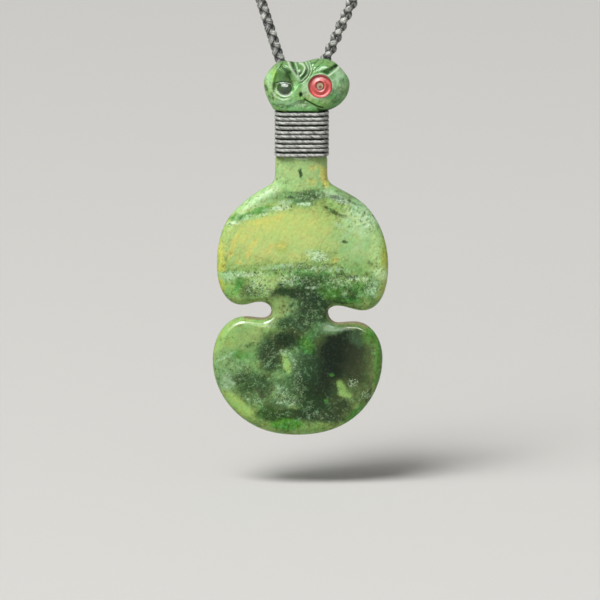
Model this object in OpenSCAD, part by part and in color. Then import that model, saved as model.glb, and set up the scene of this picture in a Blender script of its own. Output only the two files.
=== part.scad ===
// Greenstone club pendant on a braided neck cord.
// Millimetres. The origin is the nape, under the top of the cord's loop. +Z is up,
// and the carved face of the stone looks along -Y.

/* [Stone] */
// Height of the club, from its lower tip to the top of its head
club_h = 88; // [60:0.5:120]
// Half of the blade's thickness, along its middle line
blade_half = 2.9; // [2:0.1:4]
// Half of the thickness where the bevelled rim meets the face
rim_half = 2.1; // [1.2:0.1:3]
// Width of the bevelled rim, seen from the front
rim_bevel = 1.8; // [0.8:0.1:2.4]
// How far the head's carved face stands in front of the middle plane
head_front = 3.6; // [3:0.1:4.5]
// How far the head's plain back stands behind the middle plane
head_back = 2.6; // [2:0.1:3]

/* [Eyes] */
// Diameter of the red inlay in the right eye
inlay_d = 5.3; // [4:0.1:6]
// Depth of the drilled ring that holds the inlay
inlay_depth = 1.2; // [0.6:0.1:1.6]
// Diameter of the stone core that stands in the middle of the inlay
core_d = 1.6; // [1:0.1:2.2]
// Radius of the polished ball of the left eye
ball_r = 2.3; // [1.8:0.1:2.6]

/* [Binding] */
// Thickness of the waxed thread
thread_d = 1; // [0.6:0.1:1.4]
// Number of turns round the neck
turns = 10; // [6:1:14]
// Height from one turn to the next
turn_pitch = 1.05; // [0.8:0.05:1.4]
// Height of the binding's lower edge above the club's tip
binding_z = 65; // [62:0.1:66]

/* [Neck cord] */
// Thickness of the round braid
cord_d = 2.8; // [2:0.1:3.5]
// Height from the club's tip up to the nape
drop = 290; // [250:1:330]
// How far the stone hangs in front of the nape
reach = 115; // [100:1:130]

/* [Fit] */
// Gap between two pieces that touch
gap = 0.12; // [0.05:0.01:0.3]

/* [Hidden] */
size = club_h / 88;

// Columns of the two edge tables. Heading is the way that the edge runs there, from the tip
// up to the top of the head: 0 to the right, 90 up.
ACROSS = 0;
UP = 1;
HEADING = 2;

right_edge = [
    // across, up, heading
    [-0.8, 0, 0],
    [10.1, 2.45, 29],
    [19, 17.9, 90],
    [12.4, 26.4, 180],
    [8.9, 26.2, 182],
    [6.5, 28.6, 90],
    [8.7, 30.1, 0],
    [14.3, 29, 0],
    [20.3, 39.2, 90],
    [15.6, 52.8, 131],
    [8, 57.9, 151],
    [6.35, 60, 95],
    [6.3, 64.2, 90],
    [6.3, 74.6, 90],
    [7.3, 75.8, 22],
    [11.4, 81.5, 90],
    [9.2, 85.5, 130],
    [4.6, 87.5, 180],
    [-0.2, 86.55, 183],
];

left_edge = [
    // across, up, heading
    [-0.8, 0, 180],
    [-11.1, 2.45, 150],
    [-20.1, 17.5, 90],
    [-12.4, 27.6, 0],
    [-8.7, 27.3, 0],
    [-6.6, 29, 90],
    [-9.3, 31, 180],
    [-13.3, 30.3, 180],
    [-19.1, 39.2, 90],
    [-15.2, 52, 47],
    [-7.7, 57.8, 27],
    [-5.8, 59.8, 85],
    [-5.7, 64.2, 90],
    [-5.7, 74.6, 90],
    [-6.1, 75.75, 122],
    [-8.3, 81.8, 90],
    [-6.6, 85.3, 51],
    [-3.6, 86.95, 0],
    [-0.2, 86.55, -3],
];

// Columns of the table of the stone's sections. Each row goes with the same row of both edge
// tables: the point of the middle line that it runs over, the steps up to the next row, and
// shares of the named sizes.
STEPS = 2;
BEVEL = 3;
RIM = 4;
FRONT = 5;
BACK = 6;

sections = [
    // across, up, steps, bevel share, rim share, front half, back half
    [-0.7, 6, 6, 1, 0.95, 2.6, 2.6],
    [-0.6, 9.5, 8, 1, 0.95, 2.7, 2.7],
    [-0.3, 17.4, 9, 1, 1, blade_half, blade_half],
    [-0.2, 22, 3, 0.6, 1.05, blade_half, blade_half],
    [-0.1, 24, 4, 0.55, 1.05, blade_half, blade_half],
    [0, 28.7, 4, 0.6, 1.05, blade_half, blade_half],
    [0, 33, 3, 0.6, 1.05, blade_half, blade_half],
    [0.1, 35.5, 9, 0.8, 1, blade_half, blade_half],
    [0.3, 40.5, 8, 1, 1, blade_half, blade_half],
    [0.4, 49.5, 5, 1, 1, blade_half, blade_half],
    [0.4, 55.6, 3, 0.8, 0.95, 2.8, 2.8],
    [0.3, 59.6, 3, 0.75, 0.95, 2.7, 2.7],
    [0.2, 64, 4, 0.75, 0.95, 2.7, 2.7],
    [0.2, 74, 2, 0.75, 1, 2.8, 2.4],
    [0.5, 76.6, 6, 0.9, 1.1, 3, 2.4],
    [1.2, 80.6, 4, 1.4, 1.3, head_front, head_back],
    [1.1, 83.2, 4, 1.1, 1.3, head_front, head_back],
    [0.7, 84.8, 4, 0.7, 1.3, head_front, head_back],
    [-0.2, 85.3, 0, 0.6, 1.3, head_front - 0.1, head_back],
];

// A point turned from an angle, and a vector of length one
function ray(angle) = [cos(angle), sin(angle)];
function unit(v) = v / norm(v);

// The turn from one heading to another, from 0 to 180
function turn_of(from, to) = abs(((to - from) % 360 + 540) % 360 - 180);

// A smooth curve from one row of an edge table to the next. Its two handles have the length
// that makes an arc of a circle where both rows lie on one.
function curve(from, to, steps) =
    let(
        start = [from[ACROSS], from[UP]],
        end = [to[ACROSS], to[UP]],
        bend = cos(turn_of(from[HEADING], to[HEADING]) / 4),
        handle = norm(end - start) / (3 * bend * bend),
        leave = start + handle * ray(from[HEADING]),
        arrive = end - handle * ray(to[HEADING])
    )
    [
        for (k = [0 : steps - 1])
            let(t = k / steps, s = 1 - t)
            s * s * s * start + 3 * s * s * t * leave + 3 * s * t * t * arrive + t * t * t * end
    ];

// All points of one side, from the tip to just before the top of the head
function side_points(edge) = [
    for (row = [0 : len(edge) - 2])
        each curve(edge[row], edge[row + 1], sections[row][STEPS])
];

// The rows of the sections table, filled in between in equal steps
function filled_sections() = [
    for (row = [0 : len(sections) - 2])
        for (k = [0 : sections[row][STEPS] - 1])
            let(t = k / sections[row][STEPS])
            (1 - t) * sections[row] + t * sections[row + 1]
];

right_side = side_points(right_edge);
left_side = side_points(left_edge);
section_rows = concat(filled_sections(), [sections[len(sections) - 1]]);
top_row = len(section_rows) - 1;
top_point = [right_edge[len(right_edge) - 1][ACROSS], right_edge[len(right_edge) - 1][UP]];

// The closed outline: up the right side, over the top and down the left side
outline = concat(right_side, [top_point], [for (i = [top_row - 1 : -1 : 1]) left_side[i]]);
around = len(outline);

// Which section row belongs to point i of the outline
function row_of(i) = i <= top_row ? i : around - i;

// The direction into the stone at point i of the outline
function inward(i) =
    let(along = unit(outline[(i + 1) % around] - outline[(i + around - 1) % around]))
    [-along[1], along[0]];

// The bevelled rim is an arc that stops short of lying flat, which leaves a crisp edge where
// it meets the face. rim_angles are the places on the arc, and face_shares the places between
// the rim and the middle line.
rim_stop = 66;
rim_angles = [0, 24, 45, rim_stop];
face_shares = [0.3, 0.65];
rings = len(rim_angles) + len(face_shares);

// Point i of ring number v, on the side that the sign says: -1 for the front, 1 for the back
function ring_point(i, v, side) =
    let(
        row = section_rows[row_of(i)],
        middle = [row[ACROSS], row[UP]],
        high = side < 0 ? row[FRONT] : row[BACK],
        rim = min(rim_half * row[RIM], high - 0.1),
        angle = rim_angles[min(v, len(rim_angles) - 1)],
        inset = rim_bevel * row[BEVEL] * (1 - cos(angle)) / (1 - cos(rim_stop)),
        on_rim = outline[i] + inset * inward(i),
        share = v < len(rim_angles) ? 0 : face_shares[v - len(rim_angles)],
        flat = (1 - share) * on_rim + share * middle,
        half = v < len(rim_angles)
            ? rim * sin(angle) / sin(rim_stop)
            : rim + (high - rim) * (1 - (1 - share) * (1 - share))
    )
    size * [flat[0], side * half, flat[1]];

function middle_point(i, side) =
    let(row = section_rows[i])
    size * [row[ACROSS], side * (side < 0 ? row[FRONT] : row[BACK]), row[UP]];

stone_points = concat(
    [for (i = [0 : around - 1]) ring_point(i, 0, -1)],
    [for (side = [-1, 1]) for (v = [1 : rings - 1]) for (i = [0 : around - 1]) ring_point(i, v, side)],
    [for (side = [-1, 1]) for (i = [0 : top_row]) middle_point(i, side)]
);

// The number of a point of the stone. Ring 0 is the edge, which both faces share, and the last
// ring is the middle line, where the points of the left side meet those of the right.
function stone_index(i, v, side) =
    v == 0 ? i % around
    : v < rings ? around + ((side < 0 ? 0 : rings - 1) + v - 1) * around + i % around
    : around * (2 * rings - 1) + (side < 0 ? 0 : top_row + 1) + row_of(i % around);

function flipped(face, yes) = yes ? [face[2], face[1], face[0]] : face;

stone_faces = [
    for (side = [-1, 1])
        for (v = [0 : rings - 1])
            for (i = [0 : around - 1])
                let(
                    a = stone_index(i, v, side),
                    b = stone_index(i + 1, v, side),
                    c = stone_index(i + 1, v + 1, side),
                    d = stone_index(i, v + 1, side)
                )
                for (face = [[a, c, b], [a, d, c]])
                    if (face[0] != face[1] && face[1] != face[2] && face[0] != face[2])
                        flipped(face, side > 0)
];

module uncarved_stone() {
    polyhedron(points = stone_points, faces = stone_faces, convexity = 6);
}

// A section round which thread is wound is the hull of a few discs, [across, back, radius].
// The neck's seat under the binding is a bar with rounded corners.
seat_half_w = 5.25;
seat_half_d = 2.4;
seat_corner = 1.3;
cord_apart = cord_d / 2 + gap;
cord_back = seat_half_d + gap + cord_d / 2;
neck_middle = 0.4;

seat_discs = [
    for (x = [-1, 1], y = [-1, 1])
        [neck_middle + x * (seat_half_w - seat_corner), y * (seat_half_d - seat_corner), seat_corner]
];
bundle_discs = concat(
    seat_discs,
    [for (x = [-1, 1]) [neck_middle + x * cord_apart, cord_back, cord_d / 2]]
);

// The disc that reaches farthest in a direction, and the point of the hull that faces it,
// moved out by a distance
function reach_of(disc, angle) = [disc[0], disc[1]] * ray(angle) + disc[2];
function far_disc(discs, angle) =
    let(
        reaches = [for (disc = discs) reach_of(disc, angle)],
        best = max(reaches)
    )
    [for (k = [0 : len(discs) - 1]) if (reaches[k] >= best - 0.0001) discs[k]][0];
function wound_point(discs, angle, out) =
    let(disc = far_disc(discs, angle))
    [disc[0], disc[1]] + (disc[2] + out) * ray(angle);

binding_h = turns * turn_pitch;
binding_top = binding_z + binding_h;

module neck_seat_cut() {
    translate([0, 0, binding_z - gap])
        linear_extrude(height = binding_h + 2 * gap)
            difference() {
                square([20, 12], center = true);
                polygon([for (a = [3.75 : 7.5 : 359]) wound_point(seat_discs, a, 0)]);
            }
}

// A carved line: round cutters in a row, [across, up, depth below the face, radius]
module carved_line(stops) {
    for (k = [0 : len(stops) - 2])
        hull()
            for (stop = [stops[k], stops[k + 1]])
                translate([stop[0], stop[2] - head_front - stop[3], stop[1]])
                    sphere(r = 2 * stop[3], $fn = 16);
}

// Places on the carved face, [across, up]
left_eye = [-3.45, 81];
right_eye = [4.6, 81.5];
brow_meet = [0.1, 82.6];

module head_lines() {
    // hollow above the left eye
    carved_line([[-4.3, 86, 0.1, 0.35], [-4.1, 84, 0.7, 0.8], [left_eye[0], 82, 0.9, 1.1]]);
    carved_line([[-3.8, 80.4, 0.9, 1.1], [-3.1, 80.4, 0.9, 1.1]]);
    // left arm of the brow's V
    carved_line([
        [-3, 87, 1.2, 0.35], [-2.3, 86, 0.5, 0.35], [-0.7, 84, 0.45, 0.35], [brow_meet[0], brow_meet[1], 0.4, 0.35],
    ]);
    // curl inside the V
    carved_line([
        [0.2, 83.2, 0.4, 0.28], [1, 84.3, 0.45, 0.28], [1.15, 85.6, 0.45, 0.28],
        [0.3, 86.4, 0.45, 0.28], [-0.4, 85.7, 0.4, 0.28],
    ]);
    // right arm of the V and the lines that fan out over the right eye
    carved_line([[brow_meet[0], brow_meet[1], 0.4, 0.35], [2.4, 84.2, 0.45, 0.35], [2.1, 86, 0.4, 0.35]]);
    carved_line([[2.4, 85.6, 0.45, 0.3], [5, 87, 0.6, 0.3], [6, 87.6, 1, 0.3]]);
    carved_line([[2.9, 84.2, 0.4, 0.3], [5.6, 85.7, 0.45, 0.3], [6.9, 86.4, 0.6, 0.3]]);
    carved_line([[5.8, 84, 0.5, 0.4], [7.9, 85.7, 0.6, 0.45], [9.2, 86.2, 0.5, 0.4]]);
    // cheek and mouth, which leave the right lobe overhanging
    carved_line([[0.4, 80, 0.6, 0.4], [0.5, 79.2, 0.7, 0.45]]);
    carved_line([
        [0.7, 78.6, 0.6, 0.4], [2.3, 77.8, 0.8, 0.5], [3.4, 76.9, 1, 0.5], [5.6, 76.3, 1.2, 0.5], [7.2, 76.2, 1.4, 0.5],
    ]);
}

// The right eye's drilled ring, with its core left standing
module eye_drilling() {
    translate([right_eye[0], inlay_depth - head_front, right_eye[1]])
        rotate([90, 0, 0])
            difference() {
                cylinder(d = inlay_d + 2 * gap, h = inlay_depth + 2, $fn = 48);
                translate([0, 0, -1])
                    cylinder(d = core_d, h = inlay_depth + 0.75, $fn = 32);
            }
}

module hang() {
    translate([0, -reach, -drop])
        children();
}

module greenstone_club() {
    color("#6f9a52")
        hang() {
            difference() {
                uncarved_stone();
                neck_seat_cut();
                head_lines();
                eye_drilling();
            }
            translate([left_eye[0], ball_r - head_front + 0.05, left_eye[1]])
                sphere(r = ball_r, $fn = 32);
        }
}

// The inlay is a ring with a dished face and a raised lip inside and out
module eye_inlay() {
    inner = core_d / 2 + gap;
    outer = inlay_d / 2;
    face = inlay_depth - 0.3;
    dip = 0.55;
    color("#c04a48")
        hang()
            translate([right_eye[0], inlay_depth - head_front - gap, right_eye[1]])
                rotate([90, 0, 0])
                    rotate_extrude($fn = 64)
                        polygon([
                            [inner, 0],
                            [outer, 0],
                            [outer, face],
                            [outer - 0.25, face + 0.05],
                            for (k = [1 : 5])
                                let(t = k / 6)
                                [
                                    (1 - t) * (outer - 0.25) + t * (inner + 0.15),
                                    face + 0.05 - dip * sin(180 * t)
                                ],
                            [inner + 0.15, face],
                            [inner, face - 0.05],
                        ]);
}

// Each turn of the binding swells out between two valleys: [share of the turn, share of the thread]
swell = [[0, 0.6], [0.25, 0.95], [0.75, 0.95]];
binding_steps = concat(
    [for (k = [0 : turns - 1]) for (s = swell) [binding_z + (k + s[0]) * turn_pitch, gap + s[1] * thread_d]],
    [[binding_top, gap + swell[0][1] * thread_d]]
);
binding_sides = 40;

module neck_binding() {
    loops = concat(
        [[binding_z, gap]],
        binding_steps,
        [[binding_top, gap]]
    );
    count = len(loops);
    color("#2b2c2b")
        hang()
            polyhedron(
                points = [
                    for (loop = loops)
                        for (k = [0 : binding_sides - 1])
                            let(p = wound_point(bundle_discs, (k + 0.5) * 360 / binding_sides, loop[1]))
                            [p[0], p[1], loop[0]]
                ],
                faces = [
                    for (j = [0 : count - 1])
                        for (k = [0 : binding_sides - 1])
                            let(
                                a = j * binding_sides + k,
                                b = j * binding_sides + (k + 1) % binding_sides,
                                c = (j + 1) % count * binding_sides + (k + 1) % binding_sides,
                                d = (j + 1) % count * binding_sides + k
                            )
                            each [[a, c, b], [a, d, c]]
                ],
                convexity = 6
            );
}

// The cord's two routes, from the nape to the end under the binding. The loop hangs a little
// to the right of the stone, so its right run leans out more.
tucked = [cord_apart, cord_back - reach];
cord_end_z = binding_z + 1.2 - drop;

right_route = [
    [gap / 2, 0, 1.5],
    [22, -2, 1],
    [43, -11, -3],
    [58, -26, -10],
    [67, -45, -24],
    [69, -63, -44],
    [65, -79, -70],
    [56, -90, -99],
    [42, -98, -129],
    [27, -104, -160],
    [12.6, -108.6, -189],
    [6.6, -110, -202],
    [2.6, -110.5, -210],
    [tucked[0] + neck_middle, tucked[1], binding_top - drop],
    [tucked[0] + neck_middle, tucked[1], cord_end_z],
];

left_route = [
    [-gap / 2, 0, 1.5],
    [-20, -2, 1],
    [-38, -11, -3],
    [-51, -26, -10],
    [-58, -45, -24],
    [-58, -63, -44],
    [-52, -79, -70],
    [-42, -90, -99],
    [-30, -98, -129],
    [-19, -104, -160],
    [-9.3, -108.6, -189],
    [-5.1, -110, -202],
    [-2.3, -110.5, -210],
    [neck_middle - tucked[0], tucked[1], binding_top - drop],
    [neck_middle - tucked[0], tucked[1], cord_end_z],
];

// The smooth curve through the points of a route, with a few steps between each two
route_steps = 3;
function route_at(route, k) = route[max(0, min(len(route) - 1, k))];
function route_curve(route) = [
    for (k = [0 : len(route) - 2])
        let(
            a = route_at(route, k - 1),
            b = route[k],
            c = route[k + 1],
            d = route_at(route, k + 2),
            shorter = norm(c - b) < 9 ? 2 : route_steps
        )
        for (j = [0 : shorter - 1])
            let(t = j / shorter)
            b + 0.5 * t * ((c - a) + t * (2 * a - 5 * b + 4 * c - d + t * (3 * (b - c) + d - a)))
];

// The way along a line of points at point k. At the nape the loop runs straight across.
function way_along(line, k) =
    k == 0 ? unit([line[1][0], 0, 0])
    : unit(line[min(k + 1, len(line) - 1)] - line[k - 1]);

// A side direction carried along the line without twisting
function carried(line, k) =
    let(
        way = way_along(line, k),
        before = k == 0 ? [0, 0, 1] : carried(line, k - 1)
    )
    unit(before - (before * way) * way);

cord_sides = 8;

module cord_tube(route) {
    line = concat(route_curve(route), [route[len(route) - 1]]);
    count = len(line);
    last = (count - 1) * cord_sides;
    polyhedron(
        points = [
            for (k = [0 : count - 1])
                let(
                    up = carried(line, k),
                    across = cross(way_along(line, k), up)
                )
                for (s = [0 : cord_sides - 1])
                    let(angle = (s + 0.5) * 360 / cord_sides)
                    line[k] + cord_d / 2 * (cos(angle) * across + sin(angle) * up)
        ],
        faces = concat(
            [[for (s = [cord_sides - 1 : -1 : 0]) s]],
            [
                for (k = [0 : count - 2])
                    for (s = [0 : cord_sides - 1])
                        let(
                            a = k * cord_sides + s,
                            b = k * cord_sides + (s + 1) % cord_sides,
                            c = a + cord_sides,
                            d = b + cord_sides
                        )
                        each [[a, d, c], [a, b, d]]
            ],
            [[for (s = [0 : cord_sides - 1]) last + s]]
        ),
        convexity = 6
    );
}

module neck_cord_right() {
    color("#262726")
        cord_tube(right_route);
}

module neck_cord_left() {
    color("#262726")
        cord_tube(left_route);
}

greenstone_club();
eye_inlay();
neck_binding();
neck_cord_left();
neck_cord_right();
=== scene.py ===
# %% [markdown]
# # A greenstone club pendant
# The pendant is a small two-lobed hand club, carved and polished from one piece of
# nephrite, with a little two-eyed head. Ten turns of waxed thread lash it to a braided
# neck cord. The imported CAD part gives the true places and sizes, and everything here is
# built on it in the same frame, in metres: the origin is the nape, +Z is up and the
# carved face looks along -Y.

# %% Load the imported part
import math
import bpy
import numpy as np
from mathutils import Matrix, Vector


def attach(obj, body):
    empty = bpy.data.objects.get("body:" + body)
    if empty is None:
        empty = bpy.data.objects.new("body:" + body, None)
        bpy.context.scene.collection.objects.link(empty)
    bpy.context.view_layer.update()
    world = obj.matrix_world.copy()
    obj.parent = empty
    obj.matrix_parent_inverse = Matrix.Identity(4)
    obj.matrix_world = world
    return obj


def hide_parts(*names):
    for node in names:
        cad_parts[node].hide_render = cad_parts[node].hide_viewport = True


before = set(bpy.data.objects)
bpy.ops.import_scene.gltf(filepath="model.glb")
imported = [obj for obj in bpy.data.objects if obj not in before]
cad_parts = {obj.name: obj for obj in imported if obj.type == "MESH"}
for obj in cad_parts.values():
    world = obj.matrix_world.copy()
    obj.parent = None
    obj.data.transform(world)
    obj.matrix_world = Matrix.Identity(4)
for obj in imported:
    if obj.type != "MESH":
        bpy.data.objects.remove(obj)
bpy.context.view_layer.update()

# %% [markdown]
# ## Sizes
# A carver thinks in millimetres, so all sizes are kept that way and turned into metres
# only when a mesh is made. The stone is described in its own upright frame, with zero at
# its lower tip, and then hung below and in front of the nape.

# %% Named sizes, in millimetres
MM = 0.001
DROP = 290.0
REACH = 115.0
BLADE_HALF = 2.9
RIM_HALF = 2.1
RIM_BEVEL = 1.8
RIM_STOP = math.radians(66)
HEAD_FRONT = 3.6
HEAD_BACK = 2.6
GAP = 0.12
THREAD_D = 1.0
TURNS = 10
TURN_PITCH = 1.05
BINDING_Z = 65.0
BINDING_TOP = BINDING_Z + TURNS * TURN_PITCH
CORD_D = 2.8
INLAY_D = 5.3
INLAY_DEPTH = 1.2
CORE_D = 1.6
# the neck, and the bed for the thread that is sunk in it
NECK_MIDDLE = 0.4
NECK_HALF_W = 6.0
BED_HALF_W = 5.25
BED_HALF_D = 2.38
# the seat that the thread is wound round: half depth, and the discs at its four corners
SEAT_HALF_D = 2.4
SEAT_CORNER = 1.3
SEAT_DISC_OUT = 3.85
SEAT_DISC_BACK = 1.1
# how far up the carving of the head starts, and the marks on it
HEAD_FROM = 75.3
HEAD_MARKS_FROM = 75.5


def hung(across, back, up):
    """Places in the stone's own frame, in millimetres, as places in the part's frame, in metres."""
    return np.stack([across, back - REACH, up - DROP], axis=-1) * MM


# %% [markdown]
# ## From a grid of points to a mesh
# Every piece below is a sheet with two directions, like the lines of a map: one number
# counts along it and the other across. A table of corner numbers then says which four
# neighbours make each face. Arrays and foreach_set do this for all faces at once, which
# is many times faster than adding faces one by one.

# %% Mesh helpers
def grid_faces(rows):
    """Four corners for each cell of a table of point numbers: a cell joins each number to its
    right and lower neighbours."""
    a, b = rows[:-1, :-1], rows[:-1, 1:]
    c, d = rows[1:, 1:], rows[1:, :-1]
    return np.stack([a, b, c, d], axis=-1).reshape(-1, 4)


def closed(rows):
    """The same table with its first column repeated at the end, so that the sheet closes into a ring."""
    return np.concatenate([rows, rows[:, :1]], axis=1)


def put(name, data):
    """A new object with this data, linked to the scene."""
    made = bpy.data.objects.new(name, data)
    bpy.context.scene.collection.objects.link(made)
    return made


def make_piece(name, points, quads, fans=()):
    """A smooth mesh object from points in metres, four-cornered faces and a few many-cornered caps."""
    mesh = bpy.data.meshes.new(name)
    corners = np.concatenate([np.asarray(quads).ravel()] + [np.asarray(f) for f in fans]).astype(np.int32)
    counts = np.array([4] * len(quads) + [len(f) for f in fans], dtype=np.int32)
    mesh.vertices.add(len(points))
    mesh.vertices.foreach_set("co", np.asarray(points, dtype=np.float32).ravel())
    mesh.loops.add(len(corners))
    mesh.loops.foreach_set("vertex_index", corners)
    mesh.polygons.add(len(counts))
    mesh.polygons.foreach_set("loop_start", np.concatenate([[0], np.cumsum(counts)[:-1]]).astype(np.int32))
    mesh.polygons.foreach_set("use_smooth", np.ones(len(counts), dtype=bool))
    mesh.update(calc_edges=True)
    mesh.validate()
    print(f"{name}: {len(points)} points, {int((counts - 2).sum())} triangles")
    return put(name, mesh)


def lengthwise(line):
    """The distance run along a line of points at each of them, starting at zero."""
    steps = np.linalg.norm(np.diff(line, axis=0), axis=1)
    return np.concatenate([[0.0], np.cumsum(steps)])


def resampled(line, run, even):
    """The points of a line at other distances along it."""
    return np.stack([np.interp(even, run, line[:, k]) for k in range(3)], axis=1)


def full_circle(count):
    """Angles spaced evenly once round."""
    return np.arange(count) / count * 2 * np.pi


def keep_on_points(piece, name, values, kind="FLOAT"):
    """Stores a number, or a vector, for each point of a piece, which its material can read."""
    made = piece.data.attributes.new(name, kind, "POINT").data
    made.foreach_set("value" if kind == "FLOAT" else "vector", values.astype(np.float32).ravel())


def eased(low, high, value):
    """A smooth step: 0 below low, 1 above high, and 3t^2 - 2t^3 between them."""
    t = np.clip((value - low) / (high - low), 0.0, 1.0)
    return t * t * (3.0 - 2.0 * t)


# %% [markdown]
# ## The stone's outline
# The real club was sawn from a slab, ground to a drawn line and then rounded. So the mesh
# starts with the same drawn line. Each row of an edge table is a point where the edge is
# known, with its heading, and a cubic curve runs between two rows. Its handle length is
# the one that makes a true arc where the two headings allow it, so few rows are enough.

# %% The two edges of the club, from the tip up to the dip in the head
# across, up, heading in degrees: 0 runs to the right and 90 runs up
RIGHT_EDGE = np.array([
    [-0.8, 0, 0],
    [10.1, 2.45, 29],
    [19, 17.9, 90],
    [12.4, 26.4, 180],
    [8.9, 26.2, 182],
    [6.5, 28.6, 90],
    [8.7, 30.1, 0],
    [14.3, 29, 0],
    [20.3, 39.2, 90],
    [15.6, 52.8, 131],
    [8, 57.9, 151],
    [6.35, 60, 95],
    [6.3, 64.2, 90],
    [6.3, 74.6, 90],
    [7.3, 75.8, 22],
    [11.4, 81.5, 90],
    [9.2, 85.5, 130],
    [4.6, 87.5, 180],
    [-0.2, 86.55, 183],
])
LEFT_EDGE = np.array([
    [-0.8, 0, 180],
    [-11.1, 2.45, 150],
    [-20.1, 17.5, 90],
    [-12.4, 27.6, 0],
    [-8.7, 27.3, 0],
    [-6.6, 29, 90],
    [-9.3, 31, 180],
    [-13.3, 30.3, 180],
    [-19.1, 39.2, 90],
    [-15.2, 52, 47],
    [-7.7, 57.8, 27],
    [-5.8, 59.8, 85],
    [-5.7, 64.2, 90],
    [-5.7, 74.6, 90],
    [-6.1, 75.75, 122],
    [-8.3, 81.8, 90],
    [-6.6, 85.3, 51],
    [-3.6, 86.95, 0],
    [-0.2, 86.55, -3],
])
# the middle line's point for each row: across, up, CAD steps to the next row, bevel share,
# rim share, front half thickness, back half thickness
SECTIONS = np.array([
    [-0.7, 6, 6, 1, 0.95, 2.6, 2.6],
    [-0.6, 9.5, 8, 1, 0.95, 2.7, 2.7],
    [-0.3, 17.4, 9, 1, 1, BLADE_HALF, BLADE_HALF],
    [-0.2, 22, 3, 0.6, 1.05, BLADE_HALF, BLADE_HALF],
    [-0.1, 24, 4, 0.55, 1.05, BLADE_HALF, BLADE_HALF],
    [0, 28.7, 4, 0.6, 1.05, BLADE_HALF, BLADE_HALF],
    [0, 33, 3, 0.6, 1.05, BLADE_HALF, BLADE_HALF],
    [0.1, 35.5, 9, 0.8, 1, BLADE_HALF, BLADE_HALF],
    [0.3, 40.5, 8, 1, 1, BLADE_HALF, BLADE_HALF],
    [0.4, 49.5, 5, 1, 1, BLADE_HALF, BLADE_HALF],
    [0.4, 55.6, 3, 0.8, 0.95, 2.8, 2.8],
    [0.3, 59.6, 3, 0.75, 0.95, 2.7, 2.7],
    [0.2, 64, 4, 0.75, 0.95, 2.7, 2.7],
    [0.2, 74, 2, 0.75, 1, 2.8, 2.4],
    [0.5, 76.6, 6, 0.9, 1.1, 3, 2.4],
    [1.2, 80.6, 4, 1.4, 1.3, HEAD_FRONT, HEAD_BACK],
    [1.1, 83.2, 4, 1.1, 1.3, HEAD_FRONT, HEAD_BACK],
    [0.7, 84.8, 4, 0.7, 1.3, HEAD_FRONT, HEAD_BACK],
    [-0.2, 85.3, 0, 0.6, 1.3, HEAD_FRONT - 0.1, HEAD_BACK],
])
ACROSS, UP, STEPS, BEVEL, RIM, FRONT, BACK = range(7)
HEAD_ROW = 13
FINER_BLADE = 4
FINER_HEAD = 11


# %% The closed outline
def edge_curve(edge, steps):
    """Cubic curves through the rows of an edge table: a point is the mix of two ends and two
    handles with the weights s^3, 3s^2t, 3st^2 and t^3, and a handle is as long as a third of
    the way across, divided by the squared cosine of a quarter of the turn."""
    pieces = []
    for here, there, count in zip(edge[:-1], edge[1:], steps):
        t = (np.arange(count) / count)[:, None]
        s = 1.0 - t
        start, end = here[:2], there[:2]
        turn = math.radians(abs(((there[2] - here[2]) % 360 + 540) % 360 - 180))
        handle = np.linalg.norm(end - start) / (3.0 * math.cos(turn / 4.0) ** 2)
        leave, arrive = np.radians(here[2]), np.radians(there[2])
        first = start + handle * np.array([np.cos(leave), np.sin(leave)])
        second = end - handle * np.array([np.cos(arrive), np.sin(arrive)])
        pieces.append(s**3 * start + 3 * s * s * t * first + 3 * s * t * t * second + t**3 * end)
    return np.concatenate(pieces)


def flowing(table, at, places):
    """A table's columns between its rows, without kinks or overshoot: cubic curves whose slope
    at a row is the harmonic mean of the slopes on both sides, or level at a turning point."""
    gaps = np.diff(at)[:, None]
    slopes = np.diff(table, axis=0) / gaps
    before, after = slopes[:-1], slopes[1:]
    same_way = before * after > 0
    mean = np.where(same_way, 2 * before * after / np.where(same_way, before + after, 1.0), 0.0)
    tangents = np.concatenate([slopes[:1], mean, slopes[-1:]])
    k = np.clip(np.searchsorted(at, places, side="right") - 1, 0, len(at) - 2)
    wide = (at[k + 1] - at[k])[:, None]
    t = ((places - at[k])[:, None]) / wide
    return (
        (2 * t**3 - 3 * t**2 + 1) * table[k] + (t**3 - 2 * t**2 + t) * wide * tangents[k]
        + (3 * t**2 - 2 * t**3) * table[k + 1] + (t**3 - t**2) * wide * tangents[k + 1]
    )


cad_steps = SECTIONS[:-1, STEPS].astype(int)
finer = np.where(np.arange(len(cad_steps)) < HEAD_ROW, FINER_BLADE, FINER_HEAD)
fine_steps = cad_steps * finer
right_side = edge_curve(RIGHT_EDGE, fine_steps)
left_side = edge_curve(LEFT_EDGE, fine_steps)
top_row = len(right_side)
outline = np.concatenate([right_side, RIGHT_EDGE[-1:, :2], left_side[:0:-1]])
around = len(outline)
row_of = np.minimum(np.arange(around), around - np.arange(around))
fine_at = np.concatenate([[0], np.cumsum(fine_steps)])
sections = flowing(SECTIONS, fine_at.astype(float), np.arange(top_row + 1).astype(float))
heading = np.roll(outline, -1, axis=0) - np.roll(outline, 1, axis=0)
heading /= np.linalg.norm(heading, axis=1)[:, None]
inward = np.stack([-heading[:, 1], heading[:, 0]], axis=1)
print("outline points:", around, "club height:", outline[:, 1].max() - outline[:, 1].min(), "mm")

# %% [markdown]
# ## The carved face of the head
# A carver first rounds the head, then sinks flat-bottomed pockets and cuts lines into it.
# The mesh does the same with depth: for each place on the face it works out how far the
# stone is cut down there. Two measures are enough. One is the distance to a cut line, the
# other is how far inside a pocket's border a place lies.

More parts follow.
